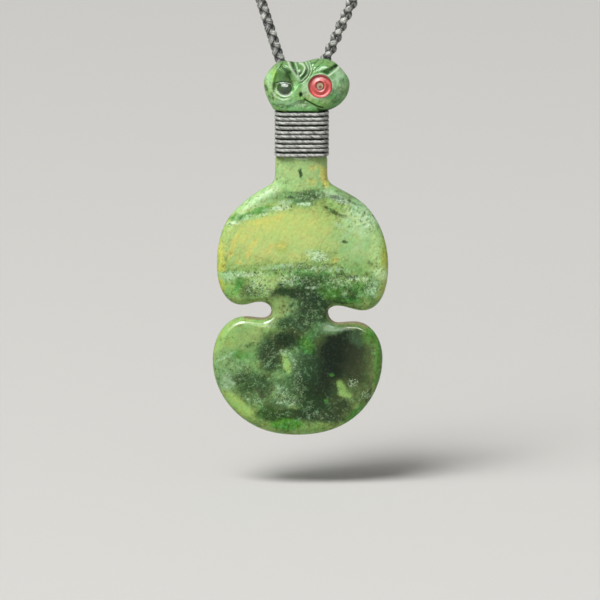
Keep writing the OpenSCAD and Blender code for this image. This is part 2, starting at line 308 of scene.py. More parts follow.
# %% Distances on the carved face
def to_line(x, z, line):
    """The shortest distance from each place to a line of straight stretches, and the share of
    the line's stretches passed at the nearest point."""
    line = np.asarray(line, dtype=float)
    best = np.full(x.shape, 1e9)
    share = np.zeros(x.shape)
    for k in range(len(line) - 1):
        step = line[k + 1] - line[k]
        t = ((x - line[k, 0]) * step[0] + (z - line[k, 1]) * step[1]) / (step @ step)
        t = np.clip(t, 0.0, 1.0)
        away = np.hypot(x - line[k, 0] - t * step[0], z - line[k, 1] - t * step[1])
        nearer = away < best
        best = np.where(nearer, away, best)
        share = np.where(nearer, (k + t) / (len(line) - 1), share)
    return best, share


def inside_by(x, z, border):
    """How far inside a closed border each place lies, negative outside: the distance to the
    border, with its sign from counting how often a ray to the right crosses it."""
    loop = np.asarray(list(border) + [border[0]], dtype=float)
    away, _ = to_line(x, z, loop)
    crossings = np.zeros(x.shape, dtype=int)
    for (x0, z0), (x1, z1) in zip(loop[:-1], loop[1:]):
        spans = (z0 > z) != (z1 > z)
        meets = x0 + (z - z0) / (z1 - z0 if z1 != z0 else 1e-9) * (x1 - x0)
        crossings += spans & (x < meets)
    return np.where(crossings % 2 == 1, away, -away)


def ridge(x, z, line, half_width):
    """1 along a line, falling to 0 at half_width from it, as a rounded bead."""
    away, _ = to_line(x, z, line)
    return np.sqrt(np.clip(1.0 - (away / half_width) ** 2, 0.0, 1.0))


def notch(x, z, line, half_width):
    """1 along a line, falling straight to 0 at half_width from it, as a cut from a V tool."""
    away, _ = to_line(x, z, line)
    return np.clip(1.0 - away / half_width, 0.0, 1.0)


# %% Places of the carving, across and up in millimetres
LEFT_EYE = (-3.55, 80.95)
RIGHT_EYE = (4.6, 81.5)
BROW_LEFT = [(-3.1, 87.7), (-2.05, 85.65), (-1.15, 84.3), (-0.3, 83.1), (0.2, 82.45)]
LEFT_CREASE = [
    (-4.5, 86.2), (-3.7, 85.5), (-3.1, 84.85), (-2.6, 83.95), (-2.2, 83.1), (-1.8, 82.1),
    (-1.55, 80.8),
]
LEFT_SOCKET = [
    (-4.5, 86.25), (-5.4, 85.2), (-5.9, 83.7), (-6.2, 82.2), (-6.2, 80.9), (-5.9, 79.7), (-5, 78.75),
    (-3.9, 78.3), (-2.7, 78.7), (-1.8, 79.5), (-1.5, 80.6), (-1.75, 82), (-2.2, 83.1), (-2.75, 84.2),
    (-3.7, 85.5),
]
HOLLOW_WALL = [(-6.05, 82.7), (-6, 83.5), (-5.7, 84.5)]
LID_LINE_UP = 82.1
BROW_RIGHT = [(0.4, 87.8), (1.3, 86.85), (1.9, 85.85), (2.05, 85.05), (1.8, 84.2), (1.1, 83.4), (0.2, 82.45)]
BROW_RIGHT_OUTER = [
    (1.3, 87.9), (2.2, 86.7), (2.6, 85.6), (2.5, 84.7), (2.1, 83.8), (1.3, 82.9), (0.4, 82.2),
]
CURL_STEM = [
    (0.2, 82.45), (-0.1, 83.1), (-0.4, 84), (-0.55, 84.95), (-0.65, 85.75), (-1, 86.5), (-1.3, 87.4),
]
CURL_HOOK = [(0.05, 83.8), (0.6, 84.35), (1, 85), (1.1, 85.75), (0.65, 86.3), (-0.05, 86.55), (-0.4, 87.3)]
CURL_BUD = (-0.15, 84.95)
FAN_CUTS = [
    [(2.7, 85.9), (3.3, 86.45), (4, 87.05), (4.8, 87.9)],
    [(3, 84.8), (4.75, 86.3), (6.45, 87.8)],
]
BROW_SHADE = [
    (2.9, 84.3), (4.15, 84.8), (5.5, 85.3), (7.1, 86), (7.8, 86.3), (8.5, 86.3), (9.6, 86.5),
    (9.6, 86.05), (9, 85.65), (8.2, 85.1), (7.25, 84.45), (6.4, 83.85), (5.65, 84), (4.6, 84.2),
    (3.7, 84.2),
]
CHEEK_EDGE = [(6.4, 83.85), (7.25, 84.45), (8.2, 85.1), (9, 85.65), (9.7, 86.1)]
BROW_DARK = [
    (4.8, 84.6), (5.5, 85.4), (6, 85.15), (6.5, 85.2), (7.1, 85.8), (7.7, 86.6), (8.5, 86.5), (8.8, 86),
    (7.9, 85.3), (7.1, 84.6), (6.4, 84), (5.5, 84.1),
]
BROW_PIT = (8.15, 85.8)
VALLEY = [(0.2, 82.2), (0, 81.5), (0, 80.4), (0.15, 79.6), (0.45, 78.9), (1.1, 78.45)]
CHIN_PIT = (0.2, 79.55)
MOUTH = [(1.1, 78.45), (2.6, 77.55), (4, 76.75), (5.25, 76.4), (7, 76.4), (8, 76.9)]
LEFT_JAW = [(1.1, 78.45), (0, 78.2), (-0.85, 77.95), (-1.85, 77.35), (-3, 76.4)]
EYE_BALL_R = 2.2
EYE_SHOWS_R = 1.75
UPPER_LID = [(-5.5, 82.15), (-4.6, 82.32), (-3.6, 82.42), (-2.6, 82.36), (-1.9, 82.15)]
LOWER_LID = [(-5.05, 79.95), (-4.4, 79.35), (-3.5, 79.15), (-2.6, 79.35), (-1.95, 79.95)]
EYE_BAG = [(-6.3, 79.8), (-5.75, 79.1), (-4.95, 78.6), (-3.7, 78.25), (-2.3, 78.6)]
HOLLOW_SHADE = [
    (-6.25, 82.5), (-5.5, 82.3), (-5.35, 81.5), (-5.6, 80.6), (-5.5, 79.9), (-6, 79.7), (-6.35, 81),
]
INNER_FACET = [(-4.2, 86.2), (-3.2, 86), (-0.9, 83.4), (-0.5, 82.6), (-1.6, 82.3), (-2.3, 83.8)]
V_SHADE = [(-2.2, 87.3), (-1.7, 86.2), (-1.35, 85.2), (-0.8, 84.2)]
BROW_GROOVES = [
    [(1.6, 86.4), (1.75, 85.6), (1.4, 84.7), (0.75, 83.9)],
    [(2.2, 86.2), (2.1, 85.1), (1.6, 84.1), (0.9, 83.2)],
    [(2.5, 86.6), (3.4, 86.7), (4.2, 87.3)],
]
UNDER_CHEEK = [(3.6, 76.7), (4.4, 76.4), (5.25, 76.25), (7, 76.2), (9, 77), (8.6, 74.8), (4.6, 74.8)]
FLAT_PLANES = [
    [(3.1, 84.65), (6.5, 87.5), (7.6, 86.8), (7.2, 85.95), (6.5, 85.35), (5.6, 85.5), (4, 84.8)],
    [
        (-8, 83.8), (-6.3, 84.3), (-5.4, 85.2), (-4.6, 86.35), (-3.7, 86), (-2.9, 86), (-2.6, 87.8),
        (-6, 88), (-9, 86),
    ],
    [(6.6, 83.5), (7.25, 84.45), (8.2, 85.1), (9.1, 85.7), (9.8, 86), (10, 84.6), (9, 83.4), (7.6, 82.6)],
    [(2.2, 87.5), (4.3, 87.6), (3, 86.8)],
    [(-0.6, 88.2), (0.4, 87.5), (1.8, 86), (2.2, 84.7), (2.9, 84.5), (6.5, 87.5), (5, 88.4)],
]


# %% How deep the head is cut
POCKET_DEEP = 0.75
SHELF_DEEP = 0.35
EYE_DEEP = 0.95
EYE_HOLLOW_R = 3.1
LINE_HALF = 0.3
CURL_HIGH = 0.62
CURL_BUD_R = 0.42
HEAD_OVER_NECK = 2.75


def cut_depth(x, z, high):
    """How far the carved face lies below the rounded head, in millimetres, at places x, z where
    the uncut face stands high above the middle plane."""
    depth = np.zeros(x.shape)

    # the hollow of the left eye: a slope from its pointed top down to the lid
    inside = inside_by(x, z, LEFT_SOCKET)
    slope = 0.2 + 0.8 * eased(86.2, 82.4, z)
    away_crest, _ = to_line(x, z, BROW_LEFT)
    away_crease, _ = to_line(x, z, LEFT_CREASE)
    socket = np.maximum(slope, POCKET_DEEP * np.exp(-((away_crease / 0.9) ** 2)))
    depth = np.maximum(depth, socket * eased(-0.02, 0.35, inside))

    # the facet that climbs from the hollow's inner crease to the brow's crest
    share = away_crest / (away_crest + away_crease + 1e-6)
    in_facet = inside_by(x, z, BROW_LEFT + [(-0.9, 81), (-1.4, 80)] + LEFT_CREASE[::-1])
    facet = POCKET_DEEP * share * eased(79.8, 82.6, z) * eased(87.4, 86.2, z + 0.25 * x)
    depth = np.where(in_facet > 0, np.maximum(depth, facet), depth)

    # the left eye: a polished ball under a straight upper lid, with a rounded lower lid
    off_x, off_z = x - LEFT_EYE[0], z - LEFT_EYE[1]
    from_eye = np.hypot(off_x, off_z)
    ball_back = math.sqrt(EYE_BALL_R**2 - EYE_SHOWS_R**2)
    ball = EYE_DEEP - (np.sqrt(np.clip(EYE_BALL_R**2 - from_eye**2, 0, None)) - ball_back)
    low = eased(-0.4, -1.2, off_z)
    side_floor = EYE_DEEP - SHELF_DEEP * eased(2.5, EYE_HOLLOW_R, from_eye)
    floor = (1 - low) * side_floor + low * 0.6 * eased(3.0, 2.1, from_eye)
    lower_lid = np.exp(-(((from_eye - 2.05) / 0.3) ** 2)) * eased(0.2, -0.9, off_z)
    floor = floor - 0.3 * lower_lid
    eye = np.where(from_eye < EYE_SHOWS_R, ball, floor)
    below_lid = eased(LID_LINE_UP + 0.06, LID_LINE_UP - 0.12, z + 0.06 * np.abs(off_x + 0.3) ** 1.5)
    eye_zone = below_lid * eased(EYE_HOLLOW_R, 2.75, from_eye) * eased(-0.3, 0.25, inside)
    depth = depth * (1 - eye_zone) + eye * eye_zone

    # the deep V between the brows, with the curl left standing in it
    brow_v = BROW_LEFT + BROW_RIGHT[:-1][::-1]
    inside = inside_by(x, z, brow_v)
    pocket = POCKET_DEEP * eased(0.05, 0.35, inside)
    curl = np.maximum(ridge(x, z, CURL_STEM, LINE_HALF), ridge(x, z, CURL_HOOK, LINE_HALF))
    from_bud = np.hypot(x - CURL_BUD[0], z - CURL_BUD[1])
    bud = np.sqrt(np.clip(1 - (from_bud / CURL_BUD_R) ** 2, 0, 1))
    pocket = pocket - CURL_HIGH * np.maximum(curl, bud) * eased(0.0, 0.3, inside)
    depth = np.where(inside > 0, np.maximum(depth, pocket), depth)

    # the groove inside the right arm of the V, and the lines that fan out over the right eye
    middle = [((a[0] + b[0]) / 2, (a[1] + b[1]) / 2) for a, b in zip(BROW_RIGHT, BROW_RIGHT_OUTER)]
    depth = np.maximum(depth, 0.4 * notch(x, z, middle, 0.26))
    outside = [(a[0] * 1.16 + 0.05, a[1] - 0.1) for a in BROW_RIGHT_OUTER[1:5]]
    depth = np.maximum(depth, 0.34 * notch(x, z, outside, LINE_HALF))
    for cut in FAN_CUTS:
        depth = np.maximum(depth, 0.3 * notch(x, z, cut, LINE_HALF))

    # the shaded strip under the right brow, deepest towards its outer end
    inside = inside_by(x, z, BROW_SHADE)
    strip = (SHELF_DEEP + SHELF_DEEP * eased(4.5, 8, x)) * eased(0.0, 0.45, inside)
    away, _ = to_line(x, z, CHEEK_EDGE)
    undercut = POCKET_DEEP * eased(0.0, 0.12, inside) * eased(5.6, 6.8, x) * eased(0.55, 0.1, away)
    strip = np.where(inside > 0, np.maximum(strip, undercut), strip)
    depth = np.maximum(depth, strip)
    depth += 0.3 * np.exp(-(((x - BROW_PIT[0]) / 0.35) ** 2 + ((z - BROW_PIT[1]) / 0.3) ** 2))

    # the valley between the two cheeks, with its pit
    away, _ = to_line(x, z, VALLEY)
    depth += 0.28 * np.exp(-((away / 0.5) ** 2))
    depth += POCKET_DEEP * np.exp(-(((x - CHIN_PIT[0]) / 0.3) ** 2 + ((z - CHIN_PIT[1]) / 0.42) ** 2))

    # under the mouth line the head steps back to the neck
    jaw = LEFT_JAW[::-1] + MOUTH[1:]
    under = np.interp(x, [p[0] for p in jaw], [p[1] for p in jaw])
    neck_step = np.clip(high - HEAD_OVER_NECK, 0, None)
    crisp = eased(-1.5, 1.8, x)
    step = eased(0.0, 0.9 - 0.72 * crisp, under - z) * neck_step
    lip = 0.3 * crisp * notch(x, z, MOUTH, LINE_HALF)
    return np.maximum(depth, step) + lip


# %% [markdown]
# ## Sawing the eye ring without jagged walls
# The right eye was drilled with a small tube drill, which leaves a ring with a core in its
# middle. On a grid of points a round wall would come out as a staircase. So points close
# to the wall are first moved sideways onto two circles, one at the top of the wall and one
# at its foot, and only then get their depth.

# %% The drilled ring of the right eye
DRILL_R = INLAY_D / 2 + GAP
CORE_R = CORE_D / 2
WALL = 0.1
WALL_CATCHES = 1.3 * WALL
CORE_SUNK = 0.3
CORE_DISH = 0.1
CORE_EDGE_SUNK = 0.2


def drilled(x, z):
    """Moves places near the drilled walls onto the walls' circles, and gives the depth there:
    none outside the ring, the full depth in it and a little on the core."""
    off_x, off_z = x - RIGHT_EYE[0], z - RIGHT_EYE[1]
    radius = np.hypot(off_x, off_z) + 1e-9
    moved = radius.copy()
    depth = np.where((radius < DRILL_R) & (radius > CORE_R), INLAY_DEPTH, 0.0)
    for wall, sign in ((DRILL_R, 1), (CORE_R, -1)):
        top, foot = wall, wall - sign * WALL
        off = sign * (radius - (top + foot) / 2)
        near_top = (off >= 0) & (off < WALL_CATCHES)
        near_foot = (off < 0) & (off > -WALL_CATCHES)
        moved = np.where(near_top, top, moved)
        moved = np.where(near_foot, foot, moved)
        depth = np.where(near_top, 0.0, depth)
        depth = np.where(near_foot, INLAY_DEPTH, depth)
    core_top = CORE_SUNK - CORE_DISH * (radius / CORE_R) ** 2
    depth = np.where(radius < CORE_R - 0.05, core_top, depth)
    depth = np.where(moved == CORE_R, CORE_EDGE_SUNK, depth)
    scale = moved / radius
    return RIGHT_EYE[0] + off_x * scale, RIGHT_EYE[1] + off_z * scale, depth, moved


# %% [markdown]
# ## The stone
# The mesh is a set of rings round the outline. The first rings climb the ground rim, an
# arc that stops short of lying flat and so leaves the crisp line that shows on the real
# stone. The others cross the gently domed face to the middle line, where the points of the
# left half meet those of the right, so nothing is left open.

# %% Build the stone
FRONT_RIM_STEPS = 14
FRONT_FACE_STEPS = 56
BACK_RIM_STEPS = 8
BACK_FACE_STEPS = 16


def wound_seat(discs, angle, out):
    """The point of the hull of a few discs that faces an angle, moved out by a distance: the
    disc that reaches farthest that way, at its centre plus its radius along the angle."""
    discs = np.asarray(discs)
    way = np.stack([np.cos(angle), np.sin(angle)], axis=-1)
    reach = way @ discs[:, :2].T + discs[:, 2]
    best = discs[np.argmax(reach, axis=-1)]
    return best[..., :2] + (best[..., 2] + out)[..., None] * way


def half_rings(side, rim_steps, face_steps):
    """The rings of one half of the stone, from the first one above the edge to the middle line.
    side is -1 for the carved front and 1 for the plain back."""
    row = sections[row_of]
    high = row[:, FRONT] if side < 0 else row[:, BACK]
    rim = np.minimum(RIM_HALF * row[:, RIM], high - 0.1)
    angle = np.linspace(0, RIM_STOP, rim_steps + 1)[1:, None]
    inset = RIM_BEVEL * row[:, BEVEL] * (1 - np.cos(angle)) / (1 - math.cos(RIM_STOP))
    rim_half = rim * np.sin(angle) / math.sin(RIM_STOP)
    rim_flat = outline[None] + inset[..., None] * inward[None]
    share = (np.arange(1, face_steps + 1) / face_steps)[:, None]
    middle = row[:, [ACROSS, UP]]
    face_flat = (1 - share[..., None]) * rim_flat[-1] + share[..., None] * middle[None]
    face_half = rim + (high - rim) * (1 - (1 - share) ** 2)
    return np.concatenate([rim_flat, face_flat]), np.concatenate([rim_half, face_half])


def seat_narrowed(x, half, z):
    """Draws the neck in to its seat under the binding, in the same direction from the neck's
    middle, so that the thread has a shallow bed."""
    bed = eased(BINDING_Z - 0.25, BINDING_Z + 0.05, z) * eased(BINDING_TOP + 0.25, BINDING_TOP - 0.05, z)
    narrow_x = NECK_MIDDLE + (x - NECK_MIDDLE) * (BED_HALF_W / NECK_HALF_W)
    narrow_half = np.minimum(half, BED_HALF_D)
    return x + bed * (narrow_x - x), half + bed * (narrow_half - half)


front_flat, front_half = half_rings(-1, FRONT_RIM_STEPS, FRONT_FACE_STEPS)
back_flat, back_half = half_rings(1, BACK_RIM_STEPS, BACK_FACE_STEPS)

x, z = front_flat[..., 0], front_flat[..., 1]
on_head = z > HEAD_FROM
moved_x, moved_z, ring_depth, from_core = drilled(x, z)
x = np.where(on_head, moved_x, x)
z = np.where(on_head, moved_z, z)
cut = np.where(on_head, cut_depth(x, z, front_half), 0.0)
eye_near = eased(DRILL_R + 0.9, DRILL_R + 0.05, from_core)
cut = np.where(on_head, cut * (1 - eye_near), cut)
cut_half = np.maximum(front_half - cut, 0.22 * front_half)
face_plane = HEAD_FRONT - 0.05
drilled_half = np.minimum(cut_half, face_plane) - ring_depth
cut_half = np.where(on_head & (from_core <= DRILL_R), drilled_half, cut_half)
x, front_seated = seat_narrowed(x, cut_half, z)
back_x, back_seated = seat_narrowed(back_flat[..., 0], back_half, back_flat[..., 1])
edge_x, _ = seat_narrowed(outline[:, 0], np.zeros(around), outline[:, 1])

edge_points = hung(edge_x, np.zeros(around), outline[:, 1])
front_points = hung(x, -front_seated, z)
back_points = hung(back_x, back_seated, back_flat[..., 1])
front_rings, back_rings = len(front_points) - 1, len(back_points) - 1
half_row = np.arange(top_row + 1)
points = np.concatenate([
    edge_points,
    front_points[:-1].reshape(-1, 3),
    back_points[:-1].reshape(-1, 3),
    front_points[-1][half_row],
    back_points[-1][half_row],
])
first_back = around * (1 + front_rings)
first_middle = around * (1 + front_rings + back_rings)
edge_numbers = np.arange(around)[None]
front_numbers = around + np.arange(front_rings * around).reshape(front_rings, around)
back_numbers = first_back + np.arange(back_rings * around).reshape(back_rings, around)
front_table = closed(np.concatenate([edge_numbers, front_numbers, first_middle + row_of[None]]))
back_table = closed(np.concatenate([edge_numbers, back_numbers, first_middle + top_row + 1 + row_of[None]]))
stone = make_piece(
    "greenstone_club_polished", points,
    np.concatenate([grid_faces(front_table), grid_faces(back_table)[:, ::-1]]),
)

# %% [markdown]
# ## The red eye
# The inlay is a ring of glossy red resin that fills the drilled ring round its stone core.
# It is turned, so a lathe profile is the natural way: one line of radius and height,
# carried round a circle. Its face is dished and curls up again to a small lip at the core.

# %% Build the inlay
def lathe(name, radius, height, centre, turns=144):
    """A closed profile of radius and height carried round an axis that points out of the face."""
    angle = full_circle(turns)
    across = centre[0] + radius[:, None] * np.cos(angle)
    up = centre[1] + radius[:, None] * np.sin(angle)
    back = np.repeat(-height[:, None], turns, axis=1)
    count = len(radius)
    numbers = np.arange(count * turns).reshape(count, turns)
    table = closed(np.concatenate([numbers, numbers[:1]]))
    return make_piece(name, hung(across, back, up).reshape(-1, 3), grid_faces(table))


INLAY_SUNK = 0.3
EDGE_R = 0.06
CORE_LIP_R = 0.07
CORE_LIP_LOW = 0.3
inlay_floor = HEAD_FRONT - INLAY_DEPTH + GAP
inlay_rim = HEAD_FRONT - INLAY_SUNK
ring_in, ring_out = CORE_R + GAP, INLAY_D / 2
t = np.linspace(0, 1, 41)
dish_r = (ring_out - EDGE_R) * (1 - t) + (ring_in + CORE_LIP_R) * t
dip = 0.6 * np.sin(np.pi * np.clip(t / 0.9, 0, 1) ** 0.75) ** 0.9 * (1 - 0.6 * t)
dish_h = inlay_rim - dip - CORE_LIP_LOW * eased(0.76, 1.0, t)
lip_foot = inlay_rim - CORE_LIP_LOW - CORE_LIP_R
rounding = np.linspace(0, np.pi / 2, 6)[:-1]
profile_r = np.concatenate([
    [ring_in, ring_out, ring_out], ring_out - EDGE_R + EDGE_R * np.cos(rounding[1:]), dish_r,
    ring_in + CORE_LIP_R - CORE_LIP_R * np.sin(rounding[1:]), [ring_in],
])
profile_h = np.concatenate([
    [inlay_floor, inlay_floor, inlay_rim - EDGE_R],
    inlay_rim - EDGE_R + EDGE_R * np.sin(rounding[1:]), dish_h,
    lip_foot + CORE_LIP_R * np.cos(rounding[1:]), [lip_foot - 0.02],
])
inlay = lathe("eye_inlay_glossy", profile_r[::-1], profile_h[::-1], RIGHT_EYE)

# %% [markdown]
# ## Thread wound round the neck
# The binding is one long thread, so it is modelled as one: a path that winds round the
# hull of the neck and the two cord ends, with the thread's own profile carried along it.
# Two plies twist round each other, which gives the profile two soft lobes that turn as it
# goes. The path climbs to the next turn behind the neck, as a neat whipping does.

# %% Sections that thread is wound round, as discs: across, back, radius
SEAT_DISCS = [
    [NECK_MIDDLE + sx * SEAT_DISC_OUT, sy * SEAT_DISC_BACK, SEAT_CORNER]
    for sx in (-1, 1) for sy in (-1, 1)
]
CORD_APART = CORD_D / 2 + GAP
CORD_BACK = SEAT_HALF_D + GAP + CORD_D / 2
BUNDLE_DISCS = SEAT_DISCS + [[NECK_MIDDLE + sx * CORD_APART, CORD_BACK, CORD_D / 2] for sx in (-1, 1)]


def carried_frames(line):
    """Two directions square to a line at each point, turned along with it and never twisted:
    the last one, less its part along the new direction."""
    way = np.gradient(line, axis=0)
    way /= np.linalg.norm(way, axis=1)[:, None]
    side = np.empty_like(line)
    last = np.cross(way[0], [0.0, 0.3, 1.0])
    for k in range(len(line)):
        last = last - (last @ way[k]) * way[k]
        last = last / np.linalg.norm(last)
        side[k] = last
    return way, side, np.cross(way, side)


def tube_faces(count, sides, first=0):
    """Faces round a tube and its two end caps, for points numbered from first."""
    numbers = first + np.arange(count * sides).reshape(count, sides)
    return grid_faces(closed(numbers))[:, ::-1], [numbers[0], numbers[-1][::-1]]


def mark_fibres(piece, lay, run, sunk):
    """Gives each point its place in the fibre as if it were laid out straight: the cosine and
    sine of its angle round the twist, and its run along, in millimetres. The material draws
    fibres in this space, so they follow the twist and have no seam. Sunk, from 0 to 1, says
    how deep a point lies in the gaps, where the material paints shade by making it darker."""
    keep_on_points(piece, "fibre", np.stack([np.cos(lay), np.sin(lay), run], axis=-1), "FLOAT_VECTOR")
    keep_on_points(piece, "sunk", sunk)


# %% Wind the thread
THREAD_R = 0.46
PLY_TWIST = 1.7
THREAD_SIDES = 16
STEPS_A_TURN = 150
turn = np.arange(TURNS * STEPS_A_TURN + 1) / STEPS_A_TURN
angle = (turn + 0.25) * 2 * np.pi
# the path climbs behind the neck, wobbles, sags in the middle more towards the top, and its two ends
# are tucked in
levels = np.arange(TURNS - 1)[:, None]
climb = eased(levels + 0.72, levels + 1.28, turn).sum(axis=0)
wobble = 0.05 * np.sin(7.3 * turn) * np.sin(2.9 * turn + 1) + 0.04 * np.sin(angle + 2.1 * turn)
tucked = 0.9 * (eased(0.14, 0.0, turn) + eased(TURNS - 0.14, TURNS, turn))
path_xy = wound_seat(BUNDLE_DISCS, angle, GAP + THREAD_D - THREAD_R - tucked)
sag = 0.14 * (((path_xy[:, 0] - NECK_MIDDLE) / NECK_HALF_W) ** 2 - 0.5) * eased(1, TURNS, turn)
path_up = BINDING_Z + THREAD_D / 2 + TURN_PITCH * climb + wobble + sag
thread_line = np.stack([path_xy[:, 0], path_xy[:, 1], path_up], axis=1)
thread_run = lengthwise(thread_line)
THREAD_POINTS = 3200
even = np.linspace(0, thread_run[-1], THREAD_POINTS)
thread_line = resampled(thread_line, thread_run, even)
thread_way, thread_side, thread_other = carried_frames(thread_line)
around_it = full_circle(THREAD_SIDES)
lay = around_it[None] - even[:, None] / PLY_TWIST * np.pi
swell = THREAD_R * (0.8 + 0.2 * np.abs(np.cos(lay)) ** 0.8)
spoke = (np.cos(around_it)[None, :, None] * thread_side[:, None]
         + np.sin(around_it)[None, :, None] * thread_other[:, None])
thread_points = thread_line[:, None] + swell[..., None] * spoke
away_from_neck = np.stack([thread_way[:, 1], -thread_way[:, 0]], axis=1)
faces_out = (spoke[..., :2] * away_from_neck[:, None]).sum(axis=2)
quads, caps = tube_faces(len(thread_line), THREAD_SIDES)
thread = make_piece(
    "neck_binding_thread",
    hung(thread_points[..., 0], thread_points[..., 1], thread_points[..., 2]).reshape(-1, 3), quads, caps,
)
# the side of the thread that faces the neck gets painted shade
mark_fibres(thread, lay, even[:, None] + 0 * lay, eased(0.85, 0.4, faces_out))
print(f"thread: {even[-1]:.0f} mm in {TURNS} turns")

# %% [markdown]
# ## The braided neck cord
# The cord is a round braid of four strands. Two wind to the right and two to the left, and
# each passes over one and under the next, so its distance from the middle swings in and
# out twice for each time round. Those two formulas make the whole braid, and no strand has
# to be placed by hand. The route is the CAD route: a whole loop round a neck.

# %% The cord's route, in millimetres
SPAN_POINTS = 60
TUCKED_BACK = CORD_BACK - REACH
NAPE_UP = 1.5
ENDS_UP = 1.2
# across in the right run, across in the left run, back and up
LOOP = [
    [22, -20, -2, 1],
    [43, -38, -11, -3],
    [58, -51, -26, -10],
    [67, -58, -45, -24],
    [69, -58, -63, -44],
    [65, -52, -79, -70],
    [56, -42, -90, -99],
    [42, -30, -98, -129],
    [27, -19, -104, -160],
    [12.6, -9.3, -108.6, -189],
    [6.6, -5.1, -110, -202],
    [2.6, -2.3, -110.5, -210],
]


def cord_route(column, hand):
    """A run's route: from the nape round the loop, and down behind the neck under the thread.
    Its hand is 1 for the right run and -1 for the left."""
    behind = NECK_MIDDLE + hand * CORD_APART
    return [
        [hand * GAP / 2, 0, NAPE_UP],
        *[[row[column], *row[2:]] for row in LOOP],
        [behind, TUCKED_BACK, BINDING_TOP - DROP],
        [behind, TUCKED_BACK, BINDING_Z + ENDS_UP - DROP],
    ]


def smooth_route(route, step):
    """The smooth curve through a route's points, each span a cubic whose slope at a point is
    half the way between its two neighbours, cut into even steps."""
    p = np.asarray(route, dtype=float)
    padded = np.concatenate([p[:1], p, p[-1:]])
    t = np.linspace(0, 1, SPAN_POINTS, endpoint=False)[:, None]
    spans = []
    for a, b, c, d in zip(padded[:-3], padded[1:-2], padded[2:-1], padded[3:]):
        spans.append(b + 0.5 * t * ((c - a) + t * (2 * a - 5 * b + 4 * c - d + t * (3 * (b - c) + d - a))))
    fine = np.concatenate(spans + [p[-1:]])
    run = lengthwise(fine)
    even = np.linspace(0, run[-1], int(round(run[-1] / step)) + 1)
    return resampled(fine, run, even), even


# %% Braid the cord
BRAID_PITCH = 5.7
BRAID_MEAN = 0.6
BRAID_SWING = 0.31
STRAND_THICK = 0.47
STRAND_WIDE = 0.72
STRAND_SIDES = 16
SHOWN_BEFORE_END = 45.0
BRAID_STEP = 0.28
BRAID_CREST_R, BRAID_GAP_R = 1.34, 1.06
FIBRE_LAY = 0.5


def braid(name, route, seen):
    """Four strands round a route. A strand's angle grows with the run, one full turn in
    BRAID_PITCH, to the right or left, and its distance is the mean plus or minus the swing
    times the sine of twice its angle, which lifts it over one strand and dips it under the
    next. Seen is the angle of the braid that faces the front just above the club."""
    line, run = smooth_route(route, BRAID_STEP)
    _, side, other = carried_frames(line)
    shown = int(np.searchsorted(run, run[-1] - SHOWN_BEFORE_END))
    facing = math.atan2(-other[shown][1], -side[shown][1])
    phase = run / BRAID_PITCH * 2 * np.pi
    around_it = full_circle(STRAND_SIDES)
    points, quads, caps, lays, sunk = [], [], [], [], []
    for k in range(4):
        hand = 1 if k % 2 == 0 else -1
        angle = hand * phase + np.pi * (k // 2) + (0 if hand > 0 else np.pi / 2) + facing - seen
        outward = np.cos(angle)[:, None] * side + np.sin(angle)[:, None] * other
        strand = line + (BRAID_MEAN + hand * BRAID_SWING * np.sin(2 * phase))[:, None] * outward
        along = np.gradient(strand, axis=0)
        across = np.cross(along / np.linalg.norm(along, axis=1)[:, None], outward)
        ring = strand[:, None] + (
            STRAND_THICK * np.cos(around_it)[None, :, None] * outward[:, None]
            + STRAND_WIDE * np.sin(around_it)[None, :, None] * across[:, None]
        )
        strand_quads, strand_caps = tube_faces(len(line), STRAND_SIDES, first=k * len(line) * STRAND_SIDES)
        points.append(ring.reshape(-1, 3))
        quads.append(strand_quads)
        caps += strand_caps
        lays.append(around_it[None] + run[:, None] * FIBRE_LAY)
        # painted shade: a strand darkens where it lies deep between the others
        sunk.append(eased(BRAID_CREST_R, BRAID_GAP_R, np.linalg.norm(ring - line[:, None], axis=2)))
    piece = make_piece(name, np.concatenate(points) * MM, np.concatenate(quads), caps)
    lays = np.concatenate(lays)
    mark_fibres(piece, lays, np.tile(run, 4)[:, None] + 0 * lays, np.concatenate(sunk))
    print(f"{name}: {run[-1]:.0f} mm of cord")
    return piece


cord_right = braid("neck_cord_right_braid", cord_route(0, 1), math.pi / 4)
cord_left = braid("neck_cord_left_braid", cord_route(1, -1), 0.0)

# %% [markdown]
# ## Materials
# Each material is a few shader nodes. Small functions add a node, set it up and join it,
# so that a recipe reads from top to bottom. Colours are written as a painter's hex
# codes and turned into the linear numbers that light adds up in.

# %% Node helpers
def linear(code):
    """An sRGB hex code as linear red, green and blue, and an alpha of one."""
    parts = [int(code[k:k + 2], 16) / 255 for k in (1, 3, 5)]
    return tuple(c / 12.92 if c <= 0.04045 else ((c + 0.055) / 1.055) ** 2.4 for c in parts) + (1.0,)


def fill(tree, node, inputs):
    """Sets each named input of a node to a value, or links it to the output given for it."""
    for name, value in inputs.items():
        if isinstance(value, bpy.types.NodeSocket):
            tree.links.new(value, node.inputs[name])
        else:
            node.inputs[name].default_value = value


def add(tree, kind, inputs, **settings):
    """Adds a shader node with its settings, and fills its inputs."""
    made = tree.nodes.new("ShaderNode" + kind)
    for name, value in settings.items():
        setattr(made, name, value)
    fill(tree, made, inputs)
    return made


def new_material(name):
    """An empty node material, its tree and its Principled shader, joined to the output."""
    material = bpy.data.materials.new(name)
    material.use_nodes = True
    tree = material.node_tree
    tree.nodes.clear()
    shader = add(tree, "BsdfPrincipled", {})
    add(tree, "OutputMaterial", {"Surface": shader.outputs["BSDF"]})
    return material, tree, shader


# %% [markdown]
# ### Polished nephrite
# Nephrite is a felt of fine fibres, coloured in clouds: yellow-green where weather got in,
# dark green where there is more iron, with pale and dark specks. The clouds sit where the
# photograph shows them, as soft ovals, and two noises push their borders about: a slow one
# bends them and a fine one frays them into the feathery edges that the stone has.

